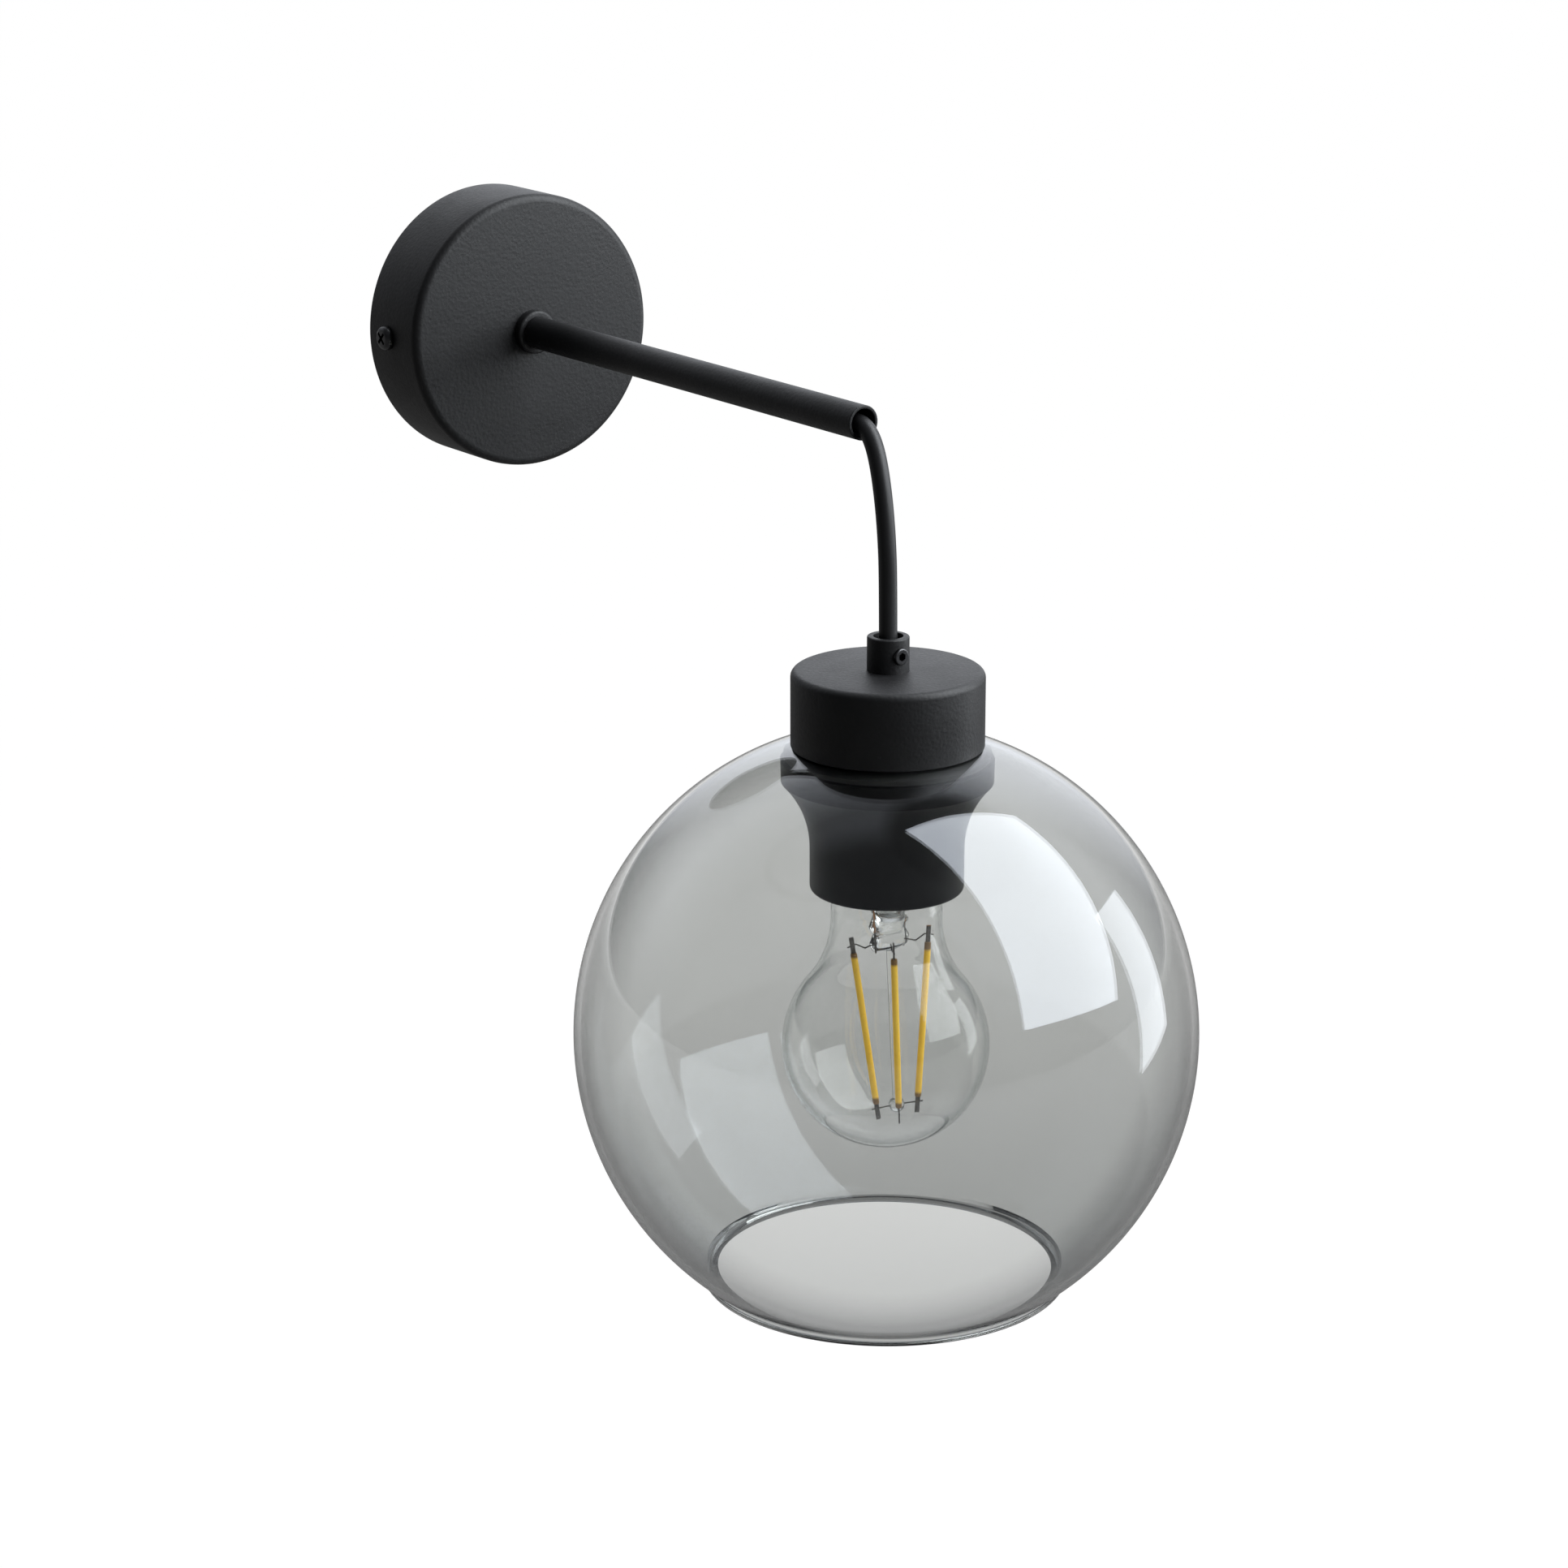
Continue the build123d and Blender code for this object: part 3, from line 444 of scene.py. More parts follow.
class ShaderMaker:
    """Makes the nodes of one material or of the world."""

    def __init__(self, owner: Material | bpy.types.World) -> None:
        """Clears the owner's nodes.

        Args:
            owner: Material or world that the nodes belong to.
        """
        owner.use_nodes = True
        self.tree = owner.node_tree
        self.tree.nodes.clear()

    def node(self, kind: str, settings: dict | None = None, inputs: dict | None = None) -> Node:
        """Adds any node.

        Args:
            kind: Type of the node.
            settings: Settings of the node, set first.
            inputs: Values or links of its sockets, by name or number.

        Returns:
            The node.
        """
        node = self.tree.nodes.new(kind)
        for name, value in (settings or {}).items():
            setattr(node, name, value)
        for name, value in (inputs or {}).items():
            if isinstance(value, Wire):
                self.tree.links.new(value.socket, node.inputs[name])
            elif isinstance(value, Socket):
                self.tree.links.new(value, node.inputs[name])
            else:
                node.inputs[name].default_value = value
        return node

    def coordinates(self) -> Socket:
        """Object coordinates of the piece, which are its place in the frame."""
        return self.node("ShaderNodeTexCoord").outputs["Object"]

    def height(self) -> Wire:
        """Height of a place on the piece, in metres."""
        parts = self.node("ShaderNodeSeparateXYZ", {}, {0: self.coordinates()})
        return Wire(self, parts.outputs["Z"])

    def along(self, vector: Socket, way: Triple) -> Wire:
        """Share of a vector that runs in one direction.

        Args:
            vector: Vector socket.
            way: Direction.

        Returns:
            The dot product.
        """
        product = self.node("ShaderNodeVectorMath", {"operation": "DOT_PRODUCT"}, {0: vector, 1: way})
        return Wire(self, product.outputs["Value"])

    def noise(self, size: float, detail: float, roughness: float = 0.5) -> Wire:
        """Cloudy noise.

        Args:
            size: Size of its clouds in metres.
            detail: Number of finer layers.
            roughness: Strength of the finer layers.

        Returns:
            A number from 0 to 1, most often within NOISE_SPAN.
        """
        node = self.node("ShaderNodeTexNoise", {}, {
            "Vector": self.coordinates(), "Scale": 1 / size, "Detail": detail, "Roughness": roughness})
        return Wire(self, node.outputs["Fac"])

    def cells(self, size: float, smoothness: float) -> Wire:
        """Rounded cells, as on leather or orange peel.

        Args:
            size: Size of a cell in metres.
            smoothness: How far the cells run together.

        Returns:
            Distance from the nearest cell's middle.
        """
        node = self.node("ShaderNodeTexVoronoi", {"feature": "SMOOTH_F1"}, {
            "Vector": self.coordinates(), "Scale": 1 / size, "Smoothness": smoothness})
        return Wire(self, node.outputs["Distance"])

    def blend(self, factor: Wire, low: Colour, high: Colour) -> Socket:
        """Colour between two colours.

        Args:
            factor: Number from 0 to 1.
            low: Colour at 0, as three numbers or a socket.
            high: Colour at 1, as three numbers or a socket.

        Returns:
            Colour socket.
        """
        ends = [(*end, 1) if isinstance(end, tuple) else end for end in (low, high)]
        node = self.node("ShaderNodeMix", {"data_type": "RGBA"}, {0: factor, 6: ends[0], 7: ends[1]})
        return node.outputs[2]

    def bump(self, height: Wire, depth: float, strength: float) -> Socket:
        """Fine relief.

        Args:
            height: Height from 0 to 1.
            depth: Depth of the relief in metres.
            strength: How strongly it shows.

        Returns:
            Normal socket.
        """
        node = self.node("ShaderNodeBump", {}, {"Height": height, "Distance": depth, "Strength": strength})
        return node.outputs["Normal"]

    def light_kind(self, *kinds: str) -> Wire:
        """1 for rays of the given kinds and 0 for others.

        Args:
            kinds: Names of the Light Path outputs.

        Returns:
            The number.
        """
        path = self.node("ShaderNodeLightPath")
        total = Wire(self, path.outputs[kinds[0]])
        for kind in kinds[1:]:
            total = total.largest(Wire(self, path.outputs[kind]))
        return total

    def mixed(self, share: Wire, first: Node, second: Node) -> Node:
        """Mixes two shaders.

        Args:
            share: Share of the second shader.
            first: First shader.
            second: Second shader.

        Returns:
            The mixed shader.
        """
        return self.node("ShaderNodeMixShader", {}, {0: share, 1: first.outputs[0], 2: second.outputs[0]})

    def surface(self, shader: Node) -> None:
        """Makes a shader the surface of the material."""
        self.node("ShaderNodeOutputMaterial", {}, {"Surface": shader.outputs[0]})

    def principled(self, inputs: dict) -> None:
        """Makes the usual shader the surface, with values or links of its sockets."""
        self.surface(self.node("ShaderNodeBsdfPrincipled", {}, inputs))


def new_maker(name: str) -> tuple[Material, ShaderMaker]:
    """Makes an empty material.

    Args:
        name: Name of the material.

    Returns:
        The material and the maker of its nodes.
    """
    material = bpy.data.materials.new(name)
    return material, ShaderMaker(material)


@dataclass(frozen=True)
class PowderCoat:
    """Matt powder coat with a fine leathery grain."""

    name: str = "powder_coat"
    dark: Triple = (0.006, 0.006, 0.0065)
    light: Triple = (0.012, 0.012, 0.013)
    grain: float = 0.0011
    cloud_share: float = 0.7
    patch: float = 0.012
    relief: float = 0.00012
    strength: float = 0.8
    roughness: Pair = (0.44, 0.58)

    def make(self) -> Material:
        """Builds the material."""
        material, maker = new_maker(self.name)
        cells = maker.cells(self.grain, smoothness=0.6)
        clouds = maker.noise(self.grain * self.cloud_share, detail=4.0, roughness=0.6)
        patches = maker.noise(self.patch, detail=2.0)
        maker.principled({
            "Base Color": maker.blend(clouds * 0.5 + patches * 0.5, self.dark, self.light),
            "Roughness": (clouds * 0.6 + patches * 0.4).spread(*NOISE_SPAN, *self.roughness),
            "Normal": maker.bump(cells * 0.5 + clouds * 0.5, self.relief, self.strength),
        })
        return material


@dataclass(frozen=True)
class SmoothSkin:
    """Moulded polymer, sheath or rubber with a fine skin."""

    name: str
    dark: Triple
    light: Triple
    grain: float = 0.0006
    cloud_share: float = 14.0
    relief: float = 0.00001
    strength: float = 0.6
    roughness: Pair = (0.38, 0.48)
    gloss: float = 0.5

    def make(self) -> Material:
        """Builds the material."""
        material, maker = new_maker(self.name)
        fine = maker.noise(self.grain, detail=3.0, roughness=0.6)
        clouds = maker.noise(self.grain * self.cloud_share, detail=2.0)
        both = fine * 0.5 + clouds * 0.5
        maker.principled({
            "Specular IOR Level": self.gloss,
            "Base Color": maker.blend(both, self.dark, self.light),
            "Roughness": both.spread(*NOISE_SPAN, *self.roughness),
            "Normal": maker.bump(fine, self.relief, self.strength),
        })
        return material


@dataclass(frozen=True)
class Metal:
    """Plain or plated metal with faint scratches and stains."""

    name: str
    dark: Triple
    light: Triple
    roughness: Pair = (0.24, 0.4)
    grain: float = 0.0004
    stain: float = 0.006
    relief: float = 0.000008
    strength: float = 0.5

    def make(self) -> Material:
        """Builds the material."""
        material, maker = new_maker(self.name)
        fine = maker.noise(self.grain, detail=5.0, roughness=0.7)
        stains = maker.noise(self.stain, detail=3.0)
        maker.principled({
            "Base Color": maker.blend(stains * 0.7 + fine * 0.3, self.dark, self.light),
            "Metallic": 1.0,
            "Roughness": (fine * 0.5 + stains * 0.5).spread(*NOISE_SPAN, *self.roughness),
            "Normal": maker.bump(fine, self.relief, self.strength),
        })
        return material


@dataclass(frozen=True)
class BlownGlass:
    """Blown glass with a faint unevenness, and with painted shade: darker towards its foot and where it is
    seen edge on.

    The painted shade is darker still on the lip's inner wall, with a painted dark line where that wall
    begins and one along the foot. Low down, painted shade also darkens the glass along its outline. On the
    smoked glass, part of the edge darkening is the longer path through the tinted glass. The rest of it, and
    all of it on clear glass, is painted shade.
    """

    name: str
    thin: Triple
    thick: Triple
    # Colours of painted shade: edge where the glass is seen edge on, foot low down, and the foot's edge
    # colour where both meet.
    edge: Triple
    foot: Triple
    painted_foot_edge_shade: Triple
    # Strengths of painted shade on the lip's inner wall, on its two dark lines and along the outline low
    # down.
    lip_shade: float = 0.0
    lip_top: float = -0.2492
    lip_middle: float = 0.0511
    lip_fade: float = 0.98
    line_shade: float = 0.0
    line_width: float = 0.0004
    outline_shade: float = 0.0
    outline_facing: Pair = (0.7, 0.8)
    outline_heights: Pair = (-0.185, -0.15)
    gloss_tint: Triple = (1.0, 1.0, 1.0)
    top_height: float = -0.165
    foot_height: float = -0.25
    edge_facing: Pair = (0.45, 0.66)
    wave: float = 0.03
    index: float = 1.5

    def make(self) -> Material:
        """Builds the material."""
        material, maker = new_maker(self.name)
        waves = maker.noise(self.wave, detail=1.0).spread(*NOISE_SPAN, 0.0, 1.0)
        height = maker.height()
        # Painted shade: the tint darkens towards the foot.
        low = height.spread(self.foot_height, self.top_height, 1.0, 0.0)
        body = maker.blend(low, maker.blend(waves, self.thin, self.thick), self.foot)
        # Painted shade where the glass is seen edge on, darkest at the foot.
        rim = maker.blend(low, self.edge, self.painted_foot_edge_shade)
        weight = maker.node("ShaderNodeLayerWeight", {}, {"Blend": 0.5})
        facing = Wire(maker, weight.outputs["Facing"])
        painted_edge_shade = facing.spread(*self.edge_facing, 0.0, 1.0)
        # Painted shade along the outline, low down only.
        outline = facing.spread(*self.outline_facing, 0.0, self.outline_shade)
        outline = outline * height.spread(*self.outline_heights, 1.0, 0.0)
        # All painted shade darkens the tint towards black.
        dark = self.painted_lip_shade(maker, height).largest(outline)
        tint = maker.blend(dark, maker.blend(painted_edge_shade, body, rim), (0.0, 0.0, 0.0))
        glass = maker.node("ShaderNodeBsdfPrincipled", {}, {
            "Base Color": tint, "Roughness": 0.0, "IOR": self.index, "Transmission Weight": 1.0,
            "Specular Tint": (*self.gloss_tint, 1.0)})
        light_through = maker.node("ShaderNodeBsdfTransparent", {}, {"Color": tint})
        maker.surface(maker.mixed(maker.light_kind("Is Shadow Ray"), glass, light_through))
        return material

    def painted_lip_shade(self, maker: ShaderMaker, height: Wire) -> Wire:
        """Painted shade of the lip's inner wall, and painted dark lines where it begins and along the foot.

        Args:
            maker: Maker of the material's nodes.
            height: Height of a place on the glass.

        Returns:
            The painted shade, where 1 is black.
        """
        width = self.line_width
        # Painted dark line where the lip's inner wall begins.
        line = (height - self.lip_top).size().spread(width / 2, width, self.line_shade, 0.0)
        lip = height.spread(self.lip_top - width, self.lip_top, self.lip_shade, 0.0)
        place = maker.coordinates()
        across = maker.along(place, (1, 0, 0))
        along = maker.along(place, (0, 1, 0)) - LAMP_Y
        limit = self.lip_middle ** 2
        inside = (across * across + along * along).spread(self.lip_fade * limit, limit, 1.0, 0.0)
        # Painted dark line along the foot, on every wall.
        ground = height.spread(self.foot_height - 2 * width, self.foot_height - width, self.line_shade, 0.0)
        return (line.largest(lip) * inside).largest(ground)


@dataclass(frozen=True)
class Phosphor:
    """Yellow coating of the filaments, brown at their ends, with a painted glow that brightens it."""

    name: str = "phosphor"
    dark: Triple = (0.92, 0.52, 0.04)
    light: Triple = (1.0, 0.68, 0.09)
    # Strength of the painted glow: the coating emits its own colour, though the lamp is off.
    light_through: float = 0.32
    end: Triple = (0.2, 0.11, 0.035)
    end_length: float = 0.0022
    end_share: float = 0.6
    speck: float = 0.0006
    cloud: float = 0.006
    relief: float = 0.00003
    strength: float = 0.5
    roughness: Pair = (0.45, 0.6)

    def make(self) -> Material:
        """Builds the material."""
        material, maker = new_maker(self.name)
        specks = maker.noise(self.speck, detail=3.0)
        clouds = maker.noise(self.cloud, detail=1.0)
        gold = maker.blend(specks * 0.5 + clouds * 0.5, self.dark, self.light)
        height = maker.height()
        foot = FILAMENT_TOP - FILAMENT_LENGTH
        fade = self.end_length * self.end_share
        above = height.spread(FILAMENT_TOP - self.end_length, FILAMENT_TOP - fade, 0.0, 1.0)
        below = height.spread(foot + fade, foot + self.end_length, 1.0, 0.0)
        coat = maker.blend(above.largest(below), gold, self.end)
        maker.principled({
            "Base Color": coat,
            # Painted glow: the coating's colour is emitted as light.
            "Emission Color": coat,
            "Emission Strength": self.light_through,
            "Roughness": specks.spread(*NOISE_SPAN, *self.roughness),
            "Normal": maker.bump(specks, self.relief, self.strength),
        })
        return material


@dataclass(frozen=True)
class LeadWire:
    """Dark wire, copper coloured where the glass of the stem grips it."""

    name: str = "lead_wire"
    dark: Triple = (0.06, 0.055, 0.05)
    light: Triple = (0.16, 0.15, 0.14)
    copper: Triple = (0.5, 0.24, 0.11)
    copper_top: float = -0.138
    copper_foot: float = -0.145
    copper_fade: float = 0.0005
    grain: float = 0.0004
    relief: float = 0.000008
    strength: float = 0.5
    roughness: Pair = (0.32, 0.45)

    def make(self) -> Material:
        """Builds the material."""
        material, maker = new_maker(self.name)
        fine = maker.noise(self.grain, detail=4.0, roughness=0.6)
        height = maker.height()
        gripped = height.spread(self.copper_foot - self.copper_fade, self.copper_foot, 0.0, 1.0)
        gripped = gripped * height.spread(self.copper_top, self.copper_top + self.copper_fade, 1.0, 0.0)
        maker.principled({
            "Base Color": maker.blend(gripped, maker.blend(fine, self.dark, self.light), self.copper),
            "Metallic": 1.0,
            "Roughness": fine.spread(*NOISE_SPAN, *self.roughness),
            "Normal": maker.bump(fine, self.relief, self.strength),
        })
        return material


class Finishes:
    """All materials of the sconce, by the record's material slots."""

    def __init__(self) -> None:
        """Makes the materials."""
        recipes = {
            "black_coat": PowderCoat(),
            "black_screw": Metal("blackened_steel", (0.06, 0.06, 0.062), (0.13, 0.13, 0.135), (0.26, 0.4)),
            "zinc_steel": Metal("zinc_steel", (0.48, 0.49, 0.51), (0.66, 0.67, 0.69)),
            "brass": Metal("brass", (0.55, 0.38, 0.14), (0.74, 0.56, 0.26)),
            "nickel": Metal("nickel", (0.6, 0.59, 0.56), (0.74, 0.73, 0.7), (0.16, 0.3)),
            "solder": Metal("solder", (0.42, 0.42, 0.42), (0.58, 0.58, 0.57)),
            "white_polymer": SmoothSkin("white_polymer", (0.66, 0.66, 0.63), (0.76, 0.76, 0.73)),
            "black_polymer": SmoothSkin(
                "black_polymer", (0.003, 0.003, 0.0035), (0.005, 0.005, 0.0055), gloss=0.2),
            "black_flex": SmoothSkin("black_sheath", (0.012, 0.012, 0.013), (0.02, 0.02, 0.021)),
            "core_insulation": SmoothSkin("core_insulation", (0.16, 0.06, 0.025), (0.24, 0.1, 0.04)),
            "ceramic": SmoothSkin("ceramic", (0.72, 0.7, 0.64), (0.82, 0.8, 0.75), roughness=(0.55, 0.7)),
            "gasket_rubber": SmoothSkin("gasket_rubber", (0.02, 0.02, 0.02), (0.035, 0.035, 0.035)),
            "black_insulator": SmoothSkin(
                "black_glaze", (0.01, 0.01, 0.01), (0.018, 0.018, 0.018), roughness=(0.15, 0.25)),
            "board": SmoothSkin("circuit_board", (0.62, 0.63, 0.58), (0.7, 0.7, 0.66)),
            # The glass recipes paint shade into the tint: edge, foot and the foot's edge colour, and the
            # lip, line and outline shades, are painted shade.
            "smoked_glass": BlownGlass(
                "smoked_glass", thin=(0.702, 0.712, 0.704), thick=(0.687, 0.697, 0.69),
                edge=(0.54, 0.547, 0.541), foot=(0.53, 0.54, 0.534), painted_foot_edge_shade=(0.19, 0.194, 0.196),
                lip_shade=0.35, line_shade=0.75, outline_shade=0.72, gloss_tint=(0.9, 0.93, 1.0)),
            "clear_glass": BlownGlass(
                "clear_glass", thin=(1.0, 1.0, 1.0), thick=(0.985, 0.99, 0.985),
                edge=(0.5, 0.54, 0.53), foot=(0.985, 0.99, 0.985), painted_foot_edge_shade=(0.42, 0.47, 0.46),
                edge_facing=(0.6, 0.82), index=1.45),
            "stem_glass": BlownGlass(
                "stem_glass", thin=(1.0, 1.0, 1.0), thick=(0.98, 0.99, 0.98),
                edge=(0.1, 0.115, 0.105), foot=(0.98, 0.99, 0.98), painted_foot_edge_shade=(0.1, 0.115, 0.105),
                edge_facing=(0.4, 0.7)),
            "filament": Phosphor(),
            "dark_wire": LeadWire(),
        }
        self.materials = {slot: recipe.make() for slot, recipe in recipes.items()}

    def dress(self, piece: Piece, slot: str) -> None:
        """Gives a piece the material of a slot.

        Args:
            piece: Piece to dress.
            slot: Name of the record's material slot.
        """
        piece.data.materials.clear()
        piece.data.materials.append(self.materials[slot])

    def seat(self, piece: Piece, body: Body, slot: str, *nodes: str) -> None:
        """Dresses a new piece and lets it stand for CAD nodes.

        Args:
            piece: Piece to seat.
            body: Body that it rides on.
            slot: Name of the record's material slot.
            nodes: CAD nodes that it stands for.
        """
        self.dress(piece, slot)
        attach(piece, body.value)
        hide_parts(*nodes)
        LOG.info("%s stands for %s", piece.name, ", ".join(nodes))


@dataclass
class WallCup:
    """Cup on the wall with its two side screws."""

    finishes: Finishes
    radius: float = 0.0425
    depth: float = 0.0275
    wall: float = 0.0012
    edge: float = 0.0025
    rim: float = 0.0003
    hole: float = 0.0051
    screw_depth: float = 0.0107
    screw_radius: float = 0.002
    screw_length: float = 0.0065
    screw_rounding: float = 0.0004
    head_radius: float = 0.00375
    head_height: float = 0.0022
    head_seat: float = 0.00005
    head_crown: float = 0.7
    slot_width: float = 0.001
    slot_length: float = 0.0046
    slot_depth: float = 0.0014

    def build(self) -> None:
        """Builds the cup and its screws."""
        self.build_cup()
        self.build_screws()

    def build_cup(self) -> None:
        """Drawn cup, open to the wall."""
        inner = self.radius - self.wall
        face = -self.depth
        back = face + self.wall
        outline = Outline()
        outline.corner(self.hole, face).corner(self.radius, face, self.edge)
        outline.corner(self.radius, 0.0, self.rim).corner(inner, 0.0, self.rim)
        outline.corner(inner, back, self.edge - self.wall).corner(self.hole, back)
        cup = Bench.turned("canopy_shell", outline, TurnAxis.ARM, steps=192)
        self.finishes.seat(cup, Body.WALL, "black_coat", "canopy")

    def build_screws(self) -> None:
        """Two pan head screws with a cross recess."""
        screws = [self.build_screw(side) for side in (-1, 1)]
        pair = Bench.joined("canopy_screw_pair", screws)
        self.finishes.seat(pair, Body.WALL, "black_screw", "canopy_screws")

    def build_screw(self, side: int) -> Piece:
        """One screw, pointing at the arm's axis.

        Args:
            side: 1 for the right side and -1 for the left.

        Returns:
            The screw.
        """
        outward = Vector((side, 0, 0))
        seat = Vector((side * (self.radius + self.head_seat), -self.screw_depth, 0))
        top = seat + outward * self.head_height
        head = Bench.rod("head", seat, top, self.head_radius, sides=48)
        Bench.open_mesh(head, selected=False)
        Bench.close_mesh()
        for face in head.data.polygons:
            face.select = len(face.vertices) > 4 and (face.center - top).length < self.head_height / 2
        bpy.ops.object.mode_set(mode="EDIT")
        bpy.ops.mesh.bevel(offset=self.head_height * self.head_crown, segments=6, profile=0.5)
        Bench.close_mesh()
        recess = (2 * self.slot_depth, self.slot_width, self.slot_length)
        for turn in (0.0, math.pi / 2):
            Bench.cut(head, Bench.block("recess", top, recess, (turn + math.pi / 4, 0, 0)))
        tip = seat - outward * self.screw_length
        shank = Bench.rod("shank", tip, seat, self.screw_radius, 32, self.screw_rounding)
        Bench.smooth(head)
        return Bench.joined("screw", [head, shank])


@dataclass
class Arm:
    """Straight tube with its collar."""

    finishes: Finishes
    radius: float = 0.005
    bore: float = 0.004
    inner_end: float = -0.019
    mouth: float = -0.2
    mouth_rounding: float = 0.0003
    collar_radius: float = 0.00675
    collar_back: float = -0.0275
    collar_front: float = -0.0305
    collar_rounding: float = 0.0008
    fit: float = 0.00005

    def build(self) -> None:
        """Builds the tube and the collar."""
        tube = Outline()
        tube.corner(self.bore, self.mouth, self.mouth_rounding)
        tube.corner(self.radius, self.mouth, self.mouth_rounding)
        tube.corner(self.radius, self.inner_end).corner(self.bore, self.inner_end)
        piece = Bench.turned("arm_pipe", tube, TurnAxis.ARM, steps=96)
        self.finishes.seat(piece, Body.WALL, "black_coat", "arm_tube")
        inner = self.radius + self.fit
        collar = Outline()
        collar.corner(inner, self.collar_back).corner(inner, self.collar_front)
        collar.corner(self.collar_radius, self.collar_front, self.collar_rounding)
        collar.corner(self.collar_radius, self.collar_back)
        ring = Bench.turned("arm_stop_ring", collar, TurnAxis.ARM, steps=96)
        self.finishes.seat(ring, Body.WALL, "black_coat", "arm_collar")


@dataclass
class Flex:
    """Free stretch of the flex, in two pieces that meet between the two hinges."""

    finishes: Finishes
    radius: float = 0.0026
    upper_length: float = 0.0381
    lower_length: float = 0.0622
    upper_route: tuple[Pair, ...] = (
        (-0.183, -0.0013), (-0.1905, -0.0013), (-0.19866, 0.00015),
        (-0.20395, -0.00329), (-0.2076, -0.0115), (-0.2091, -0.01885),
    )
    lower_route: tuple[Pair, ...] = (
        (-0.2091, -0.01885), (-0.2106, -0.0262), (-0.212, -0.044), (-0.212, -0.0809),
    )
    upper_bend: tuple[Triple, Triple] = ((0, -0.2005, 0), (0, -0.2085, -0.0165))
    lower_bend: tuple[Triple, Triple] = ((0, -0.2112, -0.026), (0, -0.2112, -0.054))

    def build(self) -> None:
        """Builds both stretches."""
        upper = self.build_stretch("flex_over_mouth", self.upper_route, "flex_upper")
        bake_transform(upper)
        lower = self.build_stretch("flex_to_grip", self.lower_route, "flex_lower")
        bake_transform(lower)

    def build_stretch(self, name: str, route: tuple[Pair, ...], node: str) -> Piece:
        """Round tube along a smooth curve.

        Args:
            name: Name of the new piece.
            route: Control points in the plane X = 0.
            node: CAD node that the piece stands for.

        Returns:
            The tube.
        """
        curve = bpy.data.curves.new(name, "CURVE")
        curve.dimensions = "3D"
        curve.resolution_u = 20
        spline = curve.splines.new("NURBS")
        spline.points.add(len(route) - 1)
        for point, (y, z) in zip(spline.points, route):
            point.co = (0, y, z, 1)
        spline.order_u = 3
        spline.use_endpoint_u = True
        line = bpy.data.objects.new(name + "_line", curve)
        bpy.context.scene.collection.objects.link(line)
        path = [vertex.co.copy() for vertex in self.read(line).vertices]
        curve.bevel_depth = self.radius
        curve.bevel_resolution = 8
        curve.use_fill_caps = True
        tube = bpy.data.objects.new(name, self.read(line))
        bpy.context.scene.collection.objects.link(tube)
        bpy.data.objects.remove(line)
        Bench.smooth(tube)
        self.finishes.dress(tube, "black_flex")
        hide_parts(node)
        LOG.info("%s stands for %s", name, node)
        return tube

    @staticmethod
    def read(line: Piece) -> bpy.types.Mesh:
        """Mesh of a curve as it stands."""
        bpy.context.view_layer.update()
        return bpy.data.meshes.new_from_object(line.evaluated_get(bpy.context.evaluated_depsgraph_get()))


@dataclass
class CordGrip:
    """Cord grip with its grub screw."""

    finishes: Finishes
    top: float = -0.0585
    bottom: float = -0.0684
    radius: float = 0.006
    rounding: float = 0.0005
    bore: float = 0.0042
    bore_rounding: float = 0.00025
    bore_floor: float = -0.0669
    spigot_radius: float = 0.00495
    spigot_bore: float = 0.0032
    spigot_end: float = -0.0793
    screw_height: float = -0.0634
    screw_radius: float = 0.0024
    screw_rounding: float = 0.0004
    screw_tap: float = 0.00245
    screw_tip: float = 0.0029
    screw_front: float = 0.0066
    socket_radius: float = 0.00125
    socket_depth: float = 0.002

    def build(self) -> None:
        """Builds the grip and the screw in its front."""
        outline = Outline()
        outline.corner(self.bore, self.top, self.bore_rounding).corner(self.radius, self.top, self.rounding)
        outline.corner(self.radius, self.bottom).corner(self.spigot_radius, self.bottom)
        outline.corner(self.spigot_radius, self.spigot_end).corner(self.spigot_bore, self.spigot_end)
        outline.corner(self.spigot_bore, self.bore_floor).corner(self.bore, self.bore_floor)
        grip = Bench.turned("cord_grip_body", outline, TurnAxis.LAMP, steps=96)
        middle = Vector((0, LAMP_Y, self.screw_height))
        front = Vector((0, -1, 0))
        Bench.cut(grip, Bench.rod("tap", middle, middle + front * 2 * self.radius, self.screw_tap, sides=48))
        Bench.smooth(grip, bend=35.0)
        self.finishes.seat(grip, Body.PENDANT, "black_coat", "cord_grip")
        tip = middle + front * self.screw_tip
        face = middle + front * self.screw_front
        screw = Bench.rod("grip_grub_screw", tip, face, self.screw_radius, 48, self.screw_rounding)
        key = front * self.socket_depth
        Bench.cut(screw, Bench.rod("key", face - key, face + key, self.socket_radius, sides=6))
        Bench.smooth(screw)
        self.finishes.seat(screw, Body.PENDANT, "black_screw", "grip_screw")


@dataclass
class ShadeCap:
    """Drawn cap over the lampholder."""

    finishes: Finishes
    top: float = -0.0684
    bottom: float = -0.0904
    radius: float = 0.0275
    wall: float = 0.0012
    edge: float = 0.002
    lip: float = 0.0004
    lip_inside: float = 0.0002
    hole: float = 0.00505

    def build(self) -> None:
        """Builds the cap."""
        inner = self.radius - self.wall
        ceiling = self.top - self.wall
        outline = Outline()
        outline.corner(self.hole, self.top).corner(self.radius, self.top, self.edge)
        outline.corner(self.radius, self.bottom, self.lip).corner(inner, self.bottom, self.lip_inside)
        outline.corner(inner, ceiling, self.edge - self.wall).corner(self.hole, ceiling)
        cap = Bench.turned("shade_cap_shell", outline, TurnAxis.LAMP, steps=192)
        self.finishes.seat(cap, Body.PENDANT, "black_coat", "shade_cap")


